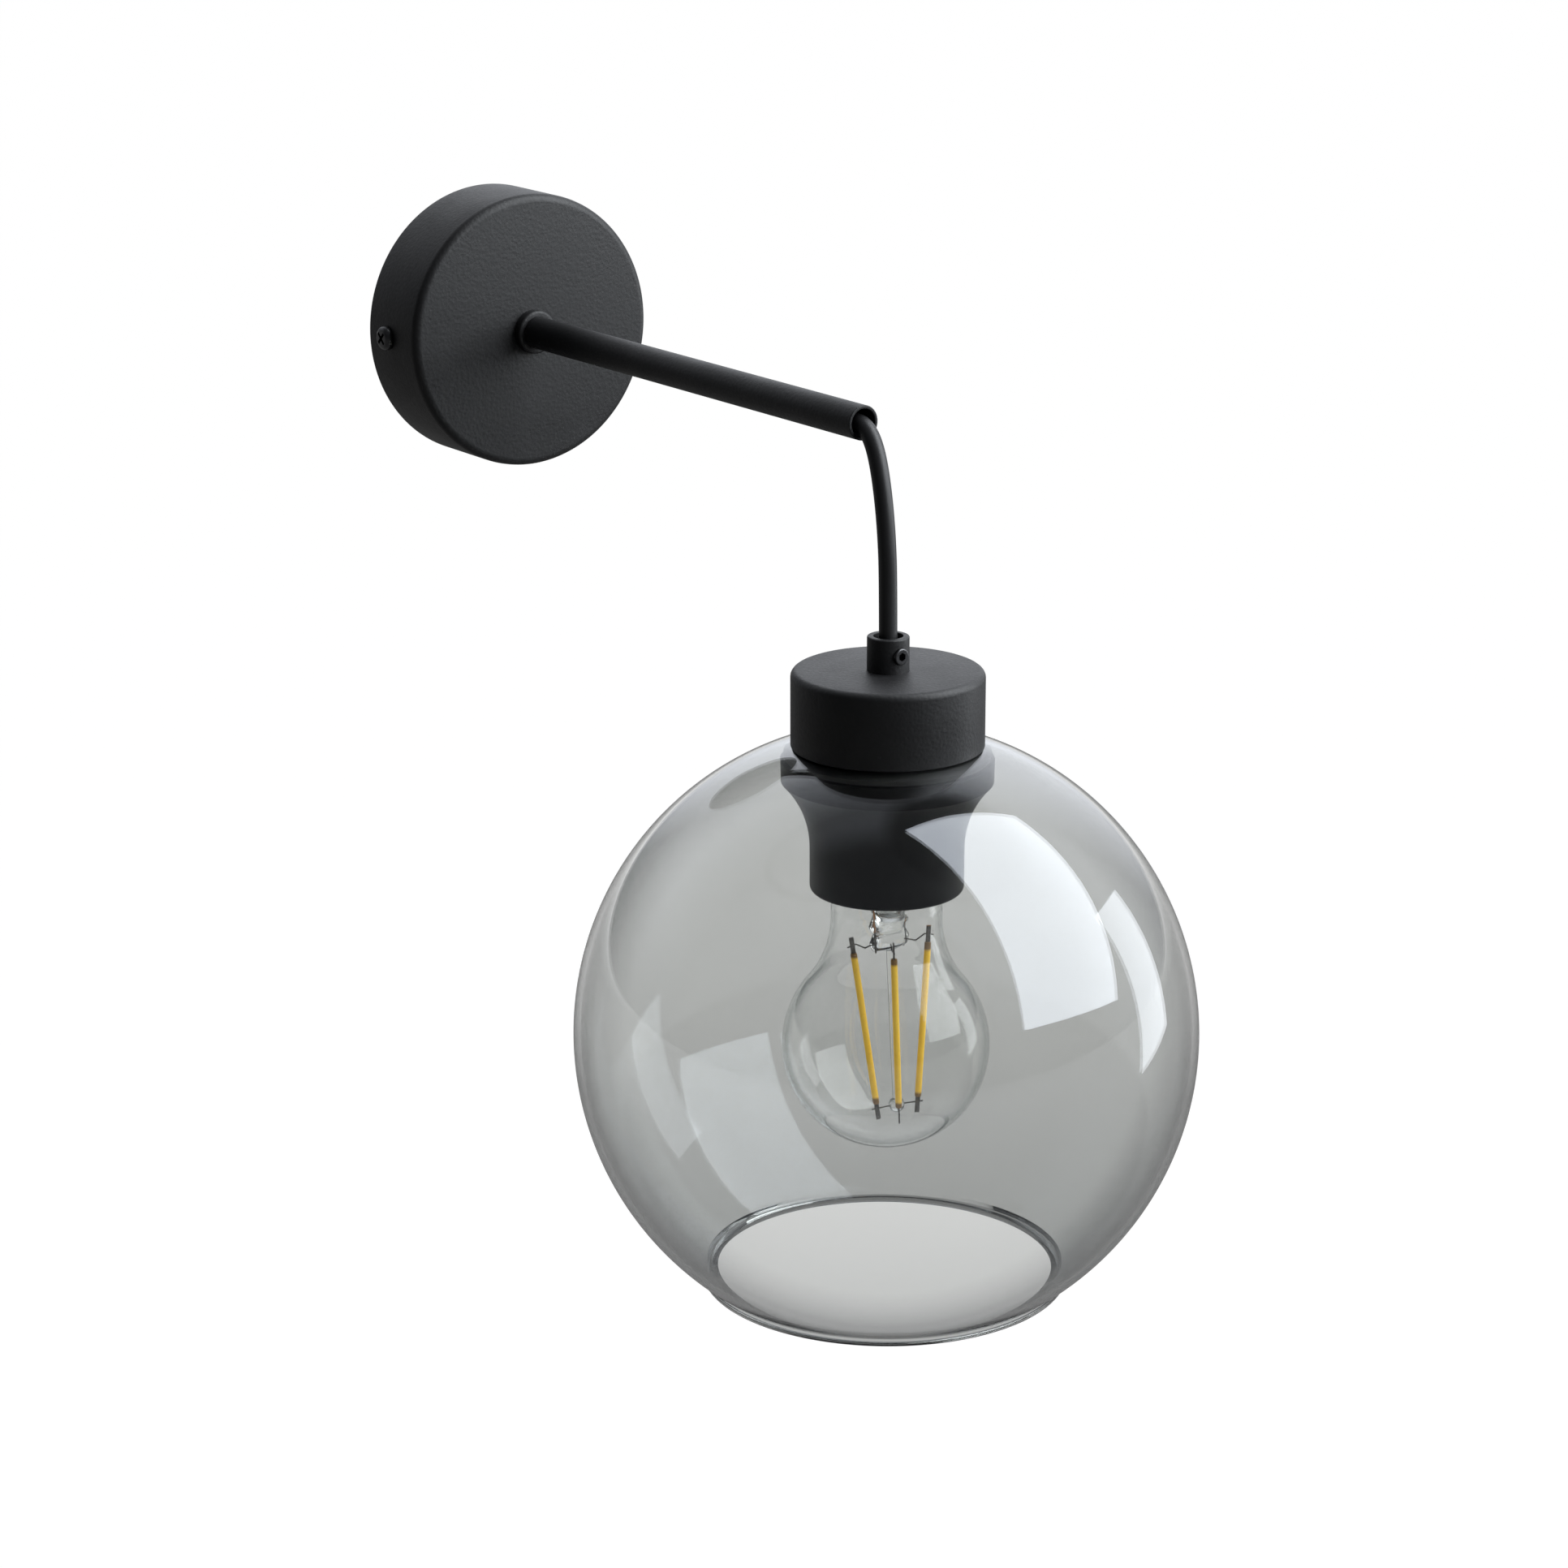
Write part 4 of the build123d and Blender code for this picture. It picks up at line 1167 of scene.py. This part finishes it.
@dataclass
class GlassShade:
    """Blown globe and the bell shaped ring that holds it."""

    finishes: Finishes
    radius: float = 0.09
    wall: float = 0.002
    hole: float = 0.021
    cap_inner_radius: float = ShadeCap.radius - ShadeCap.wall
    cap_bottom: float = ShadeCap.bottom
    seat_gap: float = 0.00005
    lip_radius: float = 0.0534
    lip_wall: float = 0.0046
    lip_height: float = 0.0015
    lip_rounding: float = 0.0004
    lip_inner_rounding: float = 0.0015
    lip_flare: float = 0.0008
    crease: float = 0.0003
    crease_rise: float = 0.00006
    crease_rounding: float = 0.00015
    ring_flange: float = 0.03
    ring_flange_height: float = 0.006
    ring_skirt: float = 0.022
    ring_taper: float = 0.0285
    ring_height: float = 0.041
    ring_wall: float = 0.0016
    ring_bore: float = 0.01945
    ring_thread: float = 0.016
    ring_rounding: float = 0.0014
    ring_chamfer: float = 0.0006
    ring_edge: float = 0.0003
    ring_sphere: float = 0.0866

    @property
    def centre(self) -> float:
        """Height of the globe's centre."""
        return self.cap_bottom - self.seat_gap - math.sqrt(self.radius ** 2 - self.cap_inner_radius ** 2)

    def build(self) -> None:
        """Builds the globe and the ring."""
        self.build_globe()
        self.build_ring()

    def build_globe(self) -> None:
        """Globe with a ground hole at the top and a rounded lip at the bottom."""
        inner = self.radius - self.wall
        lip_inner = self.lip_radius - self.lip_wall
        join = self.centre - math.sqrt(self.radius ** 2 - self.lip_radius ** 2)
        foot = self.centre - math.sqrt(inner ** 2 - lip_inner ** 2) - self.lip_height
        top_angle = math.degrees(math.acos(self.hole / self.radius))
        low_angle = -math.degrees(math.acos((self.lip_radius + self.crease) / self.radius))
        inner_low = -math.degrees(math.acos((lip_inner + self.lip_flare) / inner))
        inner_top = math.degrees(math.acos(self.hole / inner))
        middle = (0.0, self.centre)
        outline = Outline(rounding_steps=8)
        outline.arc(middle, self.radius, top_angle, low_angle, steps=90)
        outline.corner(self.lip_radius, join + self.crease_rise, self.crease_rounding)
        outline.corner(self.lip_radius, foot, self.lip_rounding)
        outline.corner(lip_inner, foot, self.lip_inner_rounding)
        outline.arc(middle, inner, inner_low, inner_top, steps=90)
        globe = Bench.turned("glass_globe_blown", outline, TurnAxis.LAMP, steps=192)
        self.finishes.seat(globe, Body.PENDANT, "smoked_glass", "glass_globe")

    def build_ring(self) -> None:
        """Bell shaped ring: flange, hollow curve and straight skirt."""
        top = self.centre + math.sqrt(self.ring_sphere ** 2 - self.ring_bore ** 2)
        flange_top = self.centre + math.sqrt(self.ring_sphere ** 2 - self.ring_flange ** 2)
        flange_low = flange_top - self.ring_flange_height
        curve_end = (self.ring_skirt, top - self.ring_taper)
        across = self.ring_flange - self.ring_chamfer - curve_end[0]
        down = flange_low - self.ring_chamfer - curve_end[1]
        bend = (across ** 2 + down ** 2) / (2 * across)
        start = 180 - math.degrees(math.asin(down / bend))
        low = top - self.ring_height
        thread_low = top - self.ring_thread
        skirt_inner = self.ring_skirt - self.ring_wall
        crown_start = math.degrees(math.acos(self.ring_bore / self.ring_sphere))
        crown_end = math.degrees(math.acos(self.ring_flange / self.ring_sphere))
        outline = Outline()
        outline.arc((0.0, self.centre), self.ring_sphere, crown_start, crown_end, steps=8)
        outline.corner(self.ring_flange, flange_low, self.ring_edge)
        outline.arc((curve_end[0] + bend, curve_end[1]), bend, start, 180, steps=16)
        outline.corner(self.ring_skirt, low, self.ring_rounding).corner(skirt_inner, low)
        outline.corner(skirt_inner, thread_low).corner(self.ring_bore, thread_low)
        ring = Bench.turned("shade_ring_bell", outline, TurnAxis.LAMP, steps=160)
        self.finishes.seat(ring, Body.PENDANT, "black_polymer", "shade_ring")


@dataclass
class ScrewLamp:
    """Clear pear shaped lamp with upright filaments."""

    finishes: Finishes
    tip: float = -0.1052
    length: float = 0.105
    radius: float = 0.03
    neck_radius: float = 0.016
    neck_fillet: float = 0.03
    glass: float = 0.0008
    collar_radius: float = 0.0142
    collar_top: float = -0.130895
    collar_height: float = 0.0075
    collar_rounding: float = 0.004
    shoulder_gap: float = 1.5
    stem_top: float = -0.129945
    stem_rim: float = 0.0115
    stem_wall: float = 0.001
    stem_flare: float = 0.011
    stem_bend: float = 0.005
    stem_bend_rise: float = 0.004
    stem_well: float = 0.001
    stem_pinch: float = 0.0046
    stem_pinch_height: float = 0.0105
    pinch_waves: int = 3
    pinch_wave: float = 0.0005
    pinch_wave_rounding: float = 0.3
    pinch_edge: float = 0.0008
    pinch_width: float = 1.35
    pinch_flatness: float = 0.5
    rod_radius: float = 0.0011
    rod_length: float = 0.0465
    rod_fillet: float = 0.0004
    button_radius: float = 0.0023
    button_height: float = 0.0024
    button_start: float = 35.0
    filament_radius: float = 0.00095
    filament_rounding: float = 0.0003
    filament_top_radius: float = 0.0114
    filament_foot_radius: float = 0.0065
    filament_angles: tuple[float, ...] = (169.0, 239.0, 338.0)
    clip_sizes: Triple = (0.0014, 0.0004, 0.005)
    clip_rounding: float = 0.0001
    wire_radius: float = 0.00022
    wire_past: float = 0.0016
    wire_rise: float = 0.0029
    wire_kink: float = 0.0011
    kink_places: Pair = (0.4, 0.7)
    kink_return: float = 0.5
    button_root: float = 0.8
    pinch_root: float = 0.9
    lead_radius: float = 0.000264
    lead_spread: float = 0.005
    lean: Pair = (1.6, 2.2)

    @property
    def pinch_bottom(self) -> float:
        """Lower end of the stem's pinch."""
        return self.stem_top - self.stem_flare - self.stem_pinch_height

    @property
    def rod_end(self) -> float:
        """Lower end of the stem's rod."""
        return self.pinch_bottom - self.rod_length

    @property
    def button(self) -> float:
        """Height of the button's middle."""
        return self.rod_end - self.button_height / 2

    @staticmethod
    def outward(angle: float) -> Vector:
        """Direction away from the lamp's axis at an angle in degrees."""
        return Vector((math.cos(math.radians(angle)), math.sin(math.radians(angle)), 0))

    def build(self) -> None:
        """Builds the glass, the stem, the filaments and their wires."""
        self.build_envelope()
        self.build_stem()
        self.build_filaments()
        self.build_clips()
        self.build_wires()

    def build_envelope(self) -> None:
        """Pear shaped glass envelope."""
        middle = (0.0, self.tip - self.length + self.radius)
        reach = self.neck_radius + self.neck_fillet
        apart = self.radius + self.neck_fillet
        rise = math.sqrt(apart ** 2 - reach ** 2)
        lean = math.degrees(math.atan2(rise, reach))
        shoulder = lean - self.shoulder_gap
        neck = (reach, middle[1] + rise)
        collar_bottom = self.collar_top - self.collar_height
        outline = Outline()
        outline.corner(self.collar_radius, self.collar_top)
        outline.corner(self.neck_radius, collar_bottom, self.collar_rounding)
        outline.arc(neck, self.neck_fillet, 180, 180 + lean, steps=20)
        outline.arc(middle, self.radius, shoulder, -90, steps=56)
        outline.arc(middle, self.radius - self.glass, -90, shoulder, steps=56)
        outline.arc(neck, self.neck_fillet + self.glass, 180 + lean, 180, steps=20)
        outline.corner(self.neck_radius - self.glass, collar_bottom, self.collar_rounding)
        outline.corner(self.collar_radius - self.glass, self.collar_top)
        bulb = Bench.turned("bulb_glass", outline, TurnAxis.LAMP, steps=144)
        self.finishes.seat(bulb, Body.BULB, "clear_glass", "bulb_envelope")

    def tilt(self, piece: Piece) -> Piece:
        """Leans a piece of the lamp's inside a little about the stem's top, as on the real lamp.

        Args:
            piece: Piece to lean.

        Returns:
            The piece.
        """
        Bench.open_mesh(piece)
        for axis, angle in zip("XY", self.lean):
            bpy.ops.transform.rotate(
                value=math.radians(angle), orient_axis=axis, orient_type="GLOBAL",
                center_override=(0, LAMP_Y, self.stem_top))
        Bench.close_mesh()
        return piece

    def flatten_pinch(self, stem: Piece, top: float) -> None:
        """Presses the lower end of the stem's tube flat.

        Args:
            stem: Stem to press.
            top: Height where the pressed part begins.
        """
        Bench.open_mesh(stem, selected=False)
        Bench.close_mesh()
        for vertex in stem.data.vertices:
            radius = math.hypot(vertex.co.x, vertex.co.y - LAMP_Y)
            vertex.select = self.pinch_bottom - MM < vertex.co.z < top and radius > 2 * self.rod_radius
        bpy.ops.object.mode_set(mode="EDIT")
        press = (self.pinch_width, self.pinch_flatness, 1)
        bpy.ops.transform.resize(value=press, center_override=(0, LAMP_Y, self.pinch_bottom))
        bpy.ops.mesh.select_all(action="SELECT")
        bpy.ops.mesh.normals_make_consistent(inside=False)
        Bench.close_mesh()

    def build_stem(self) -> None:
        """Glass stem with its wavy pinch, its rod and its button."""
        flare_end = self.stem_top - self.stem_flare
        bend = flare_end + self.stem_bend_rise
        run = (self.stem_pinch_height - self.stem_wall) / (self.pinch_waves + 1)
        outline = Outline()
        outline.corner(self.stem_rim, self.stem_top)
        outline.corner(self.stem_pinch + self.stem_wall, bend, self.stem_bend)
        outline.corner(self.stem_pinch, flare_end)
        for turn in range(1, self.pinch_waves + 1):
            swing = self.pinch_wave if turn % 2 else -self.pinch_wave
            outline.corner(self.stem_pinch + swing, flare_end - turn * run, run * self.pinch_wave_rounding)
        outline.corner(self.stem_pinch, self.pinch_bottom + self.stem_wall, self.pinch_edge)
        outline.corner(self.rod_radius, self.pinch_bottom, self.rod_fillet)
        outline.corner(self.rod_radius, self.rod_end)
        outline.arc((0.0, self.button), self.button_radius, self.button_start, -90, steps=10)
        outline.corner(0.0, flare_end)
        outline.corner(self.stem_pinch - self.stem_wall, flare_end, self.stem_well)
        outline.corner(self.stem_pinch, bend, self.stem_bend)
        outline.corner(self.stem_rim - self.stem_wall, self.stem_top)
        stem = Bench.turned("bulb_stem_glass", outline, TurnAxis.LAMP, steps=72)
        self.flatten_pinch(stem, flare_end - run / 2)
        self.finishes.seat(self.tilt(stem), Body.BULB, "clear_glass", "bulb_stem")
        self.finishes.dress(stem, "stem_glass")

    def ends(self, angle: float) -> tuple[Vector, Vector]:
        """Upper and lower end of a filament.

        Args:
            angle: Place of the filament about the lamp's axis, in degrees.

        Returns:
            Both ends.
        """
        out = self.outward(angle)
        top = Vector((0, LAMP_Y, FILAMENT_TOP)) + out * self.filament_top_radius
        foot = Vector((0, LAMP_Y, FILAMENT_TOP - FILAMENT_LENGTH)) + out * self.filament_foot_radius
        return top, foot

    def build_filaments(self) -> None:
        """Yellow rods."""
        rods = []
        for angle in self.filament_angles:
            top, foot = self.ends(angle)
            rods.append(Bench.rod("filament", top, foot, self.filament_radius, 20, self.filament_rounding))
        joined = self.tilt(Bench.joined("bulb_filament_rods", rods))
        self.finishes.seat(joined, Body.BULB, "filament", "bulb_filaments")

    def build_clips(self) -> None:
        """Flat metal ends in line with the filaments, their broad side in line with the lamp's axis."""
        clips = []
        for angle in self.filament_angles:
            top, foot = self.ends(angle)
            along = (top - foot).normalized()
            out = self.outward(angle)
            broad = (out - along * out.dot(along)).normalized()
            turn = Matrix((broad, along.cross(broad), along)).transposed().to_euler()
            for start, way in ((top, along), (foot, -along)):
                middle = start + way * self.clip_sizes[2] / 2
                clip = Bench.block("clip", middle, self.clip_sizes, turn)
                Bench.bevel_rims(clip, self.clip_rounding, segments=2)
                clips.append(clip)
        joined = self.tilt(Bench.joined("bulb_filament_clips", clips))
        self.finishes.seat(joined, Body.BULB, "dark_wire", "bulb_clips")

    def build_wires(self) -> None:
        """Bent wires from the stem to the clips, above and below, and the two leads in the stem."""
        slope = (self.filament_top_radius - self.filament_foot_radius) / FILAMENT_LENGTH
        rows = (
            (self.button, self.button_radius * self.button_root, 0.0),
            (self.pinch_bottom + self.wire_rise, self.stem_pinch * self.pinch_root, self.wire_kink),
        )
        wires = []
        for angle in self.filament_angles:
            for height, inner, kink in rows:
                reach = self.filament_top_radius + slope * (height - FILAMENT_TOP)
                wires.append(self.build_wire(angle, height, inner, reach + self.wire_past, kink))
        for side in (-1, 1):
            top = Vector((side * self.lead_spread, LAMP_Y, self.stem_top - self.stem_flare / 3))
            foot = Vector((side * self.lead_spread, LAMP_Y, self.pinch_bottom))
            wires.append(Bench.rod("lead", top, foot, self.lead_radius, sides=12))
        joined = self.tilt(Bench.joined("bulb_wires", wires))
        self.finishes.seat(joined, Body.BULB, "dark_wire", "bulb_support_wires")

    def build_wire(self, angle: float, height: float, inner: float, reach: float, kink: float) -> Piece:
        """One wire with a kink.

        Args:
            angle: Place about the lamp's axis, in degrees.
            height: Height of the wire.
            inner: Distance of its inner end from the axis.
            reach: Distance of its outer end from the axis.
            kink: Depth of its kink.

        Returns:
            The wire.
        """
        out = self.outward(angle)
        base = Vector((0, LAMP_Y, height))
        dip, crest = (inner + (reach - inner) * share for share in self.kink_places)
        places = [
            base + out * inner,
            base + out * dip - Vector((0, 0, kink)),
            base + out * crest + Vector((0, 0, kink * self.kink_return)),
            base + out * reach,
        ]
        runs = [Bench.rod("run", a, b, self.wire_radius, sides=10) for a, b in zip(places, places[1:])]
        return Bench.joined("wire", runs)


@dataclass(frozen=True)
class Softbox:
    """Rectangular softbox, with its directions as right, up and towards the camera.

    Sizes are shares of the distance, and the radiance is what a mirror would show.
    """

    name: str
    way: Triple
    across: Triple
    upward: Triple
    width: float
    height: float
    radiance: float
    distance: float = 1.3
    colour: Triple = (0.92, 0.96, 1.0)


@dataclass
class Studio:
    """Camera, lamps, pale floor and white surroundings."""

    lens: float = 93.6
    sensor: float = 36.0
    near_clip: float = 0.01
    eye: Triple = (-0.6661, -1.09441, 0.2323)
    right: Triple = (0.81358, -0.58145, -0.00126)
    up: Triple = (0.1693, 0.23482, 0.95718)
    back: Triple = (-0.55626, -0.77896, 0.28948)
    target: Triple = (-0.0274, -0.2, -0.10008)
    daylight: Triple = (0.94, 0.97, 1.03)
    surround: float = 0.06
    room_low: float = 0.34
    room_high: float = 0.8
    room_heights: Pair = (-0.05, 0.6)
    left_shade: float = 0.6
    left_side: Pair = (0.25, 0.6)
    left_heights: Pair = (0.05, 0.35)
    far_tone: float = 0.12
    front: Pair = (-0.32, 0.14)
    overhead: float = 0.4
    over_heights: Pair = (0.8, 0.97)
    over_front: Pair = (0.1, 0.35)
    glow: float = 0.85
    glow_way: Triple = (0.1, 0.62, -0.778)
    glow_edge: Pair = (0.8, 0.95)
    gap_way: Triple = (0.35, 0.93, 0.12)
    gap_edge: Pair = (0.92, 0.96)
    floor_height: float = -1.7
    floor_size: float = 80.0
    paint_tone: float = 0.6
    white_share: float = 0.85
    white_strength: float = 1.17
    floor_tone: float = 0.22
    horizon_tone: float = 0.9
    front_floor: Pair = (6.0, 30.0)
    near_floor: Pair = (-1.0, 0.6)
    far_floor: Pair = (-24.0, -10.0)
    key: Softbox = Softbox(
        "key", way=(0.769, 0.633, 0.086), across=(0.752, 0.145, -0.643), upward=(-0.42, 0.862, -0.284),
        width=0.964, height=1.331, radiance=5.6)
    side: Softbox = Softbox(
        "side", way=(0.925, 0.142, -0.352), across=(0.411, 0.36, -0.838), upward=(-0.208, 0.95, 0.235),
        width=0.479, height=0.589, radiance=3.4)

    @property
    def turn(self) -> Matrix:
        """Turn from the camera's axes to those of the frame."""
        return Matrix((self.right, self.up, self.back)).transposed()

    def in_world(self, way: Triple) -> Triple:
        """Direction in space.

        Args:
            way: Direction as right, up and towards the camera.

        Returns:
            The same direction along the axes of the frame.
        """
        return tuple(self.turn @ Vector(way).normalized())

    def build(self) -> None:
        """Builds the studio."""
        self.build_camera()
        self.build_world()
        self.build_floor()
        for lamp in (self.key, self.side):
            self.build_softbox(lamp)
        bpy.context.scene.view_settings.view_transform = "Standard"

    def build_camera(self) -> None:
        """Camera at the photograph's viewing angle."""
        data = bpy.data.cameras.new("camera")
        data.lens = self.lens
        data.sensor_width = self.sensor
        data.clip_start = self.near_clip
        camera = bpy.data.objects.new("camera", data)
        camera.matrix_world = Matrix.Translation(self.eye) @ self.turn.to_4x4()
        bpy.context.scene.collection.objects.link(camera)
        bpy.context.scene.camera = camera

    def build_world(self) -> None:
        """White surroundings for the eye, a pale room for mirrored rays and weak soft light for the rest.

        The room is bright above and behind, with a glow above behind the object. It is dark towards the
        camera, beside the key softbox and low on the left, and slightly blue.
        """
        world = bpy.data.worlds.new("surroundings")
        bpy.context.scene.world = world
        world.cycles.sampling_method = "NONE"
        maker = ShaderMaker(world)
        way = maker.node("ShaderNodeTexCoord").outputs["Generated"]
        height = maker.along(way, (0, 0, 1))
        toward = maker.along(way, self.in_world((0, 0, 1)))
        left = maker.along(way, self.in_world((-1, 0, 0))).spread(*self.left_side, 0.0, self.left_shade)
        lit = 1 - left * height.spread(*self.left_heights, 1.0, 0.0)
        upper = height.spread(*self.room_heights, self.room_low, self.room_high) * lit
        behind = toward.spread(*self.front, 1.0, self.far_tone)
        beside = maker.along(way, self.in_world(self.gap_way)).spread(*self.gap_edge, 1.0, 0.0)
        glow = maker.along(way, self.in_world(self.glow_way)).spread(*self.glow_edge, 0.0, self.glow)
        over = height.spread(*self.over_heights, 0.0, self.overhead)
        over = over * toward.spread(*self.over_front, 1.0, 0.0)
        room = (((upper + glow) * behind).largest(over) * beside).largest(self.surround)
        mirrored = maker.light_kind("Is Glossy Ray", "Is Transmission Ray")
        seen = maker.light_kind("Is Camera Ray")
        strength = (mirrored * (room - self.surround) + self.surround).largest(seen)
        colour = maker.blend(seen, self.daylight, (1.0, 1.0, 1.0))
        sky = maker.node("ShaderNodeBackground", {}, {"Color": colour, "Strength": strength})
        maker.node("ShaderNodeOutputWorld", {}, {"Surface": sky.outputs[0]})

    def pale_paint(self) -> Material:
        """Pale paint of the floor, white to the eye and through glass.

        Mirrors show it brighter behind the object, and brightest far behind it. Towards the camera it is
        dim, as the room is.

        Returns:
            The material.
        """
        material, maker = new_maker("pale_floor")
        toward = maker.along(maker.coordinates(), (*self.in_world((0, 0, 1))[:2], 0.0))
        eye = maker.light_kind("Is Camera Ray")
        through = maker.light_kind("Is Transmission Ray")
        mirrored = (maker.light_kind("Is Glossy Ray") - through).largest(0.0)
        near = toward.spread(*self.front_floor, 1.0, self.far_tone)
        behind = toward.spread(*self.far_floor, self.horizon_tone, self.floor_tone)
        behind = behind * toward.spread(*self.near_floor, 1.0, self.far_tone / self.floor_tone)
        strength = (eye + through * near) * self.white_strength + mirrored * behind
        share = (eye.largest(through) * self.white_share).largest(mirrored)
        tone = self.paint_tone
        paint = maker.node("ShaderNodeBsdfDiffuse", {}, {"Color": (tone, tone, tone, 1)})
        white = maker.node("ShaderNodeEmission", {}, {"Color": (1, 1, 1, 1), "Strength": strength})
        maker.surface(maker.mixed(share, paint, white))
        return material

    def build_floor(self) -> None:
        """Plain pale floor, as far below as the floor of a room."""
        Bench.clear()
        bpy.ops.mesh.primitive_plane_add(size=self.floor_size, location=(0, 0, self.floor_height))
        floor = Bench.begin("floor")
        floor.data.materials.append(self.pale_paint())

    def build_softbox(self, lamp: Softbox) -> None:
        """One rectangular softbox that faces the object.

        Args:
            lamp: Place, size and strength of the softbox.
        """
        data = bpy.data.lights.new(lamp.name, "AREA")
        data.shape = "RECTANGLE"
        data.size = lamp.width * lamp.distance
        data.size_y = lamp.height * lamp.distance
        data.energy = lamp.radiance * math.pi * data.size * data.size_y
        data.color = lamp.colour
        upward = Vector(lamp.upward).normalized()
        across = Vector(lamp.across)
        across = (across - upward * across.dot(upward)).normalized()
        axes = Matrix((across, upward, across.cross(upward))).transposed()
        place = Vector(self.target) + self.turn @ (Vector(lamp.way).normalized() * lamp.distance)
        box = bpy.data.objects.new(lamp.name, data)
        box.matrix_world = Matrix.Translation(place) @ (self.turn @ axes).to_4x4()
        bpy.context.scene.collection.objects.link(box)


def dress_nodes(finishes: Finishes) -> None:
    """Gives every CAD node that still shows its material.

    Args:
        finishes: Materials by slot.
    """
    slots = {row["node"]: row["material_slot"] for row in frame["record"]["subparts"]}
    for name, node in NODES.items():
        if not node.hide_render:
            finishes.dress(node, slots[name])
            LOG.info("%s keeps its solid", name)


def main() -> None:
    """Builds the studio and the sconce."""
    logging.basicConfig(level=logging.INFO, format="%(message)s")
    Studio().build()
    finishes = Finishes()
    for part in (WallCup, Arm, Flex, CordGrip, ShadeCap, GlassShade, ScrewLamp):
        part(finishes).build()
    dress_nodes(finishes)


if __name__ == "__main__":
    main()
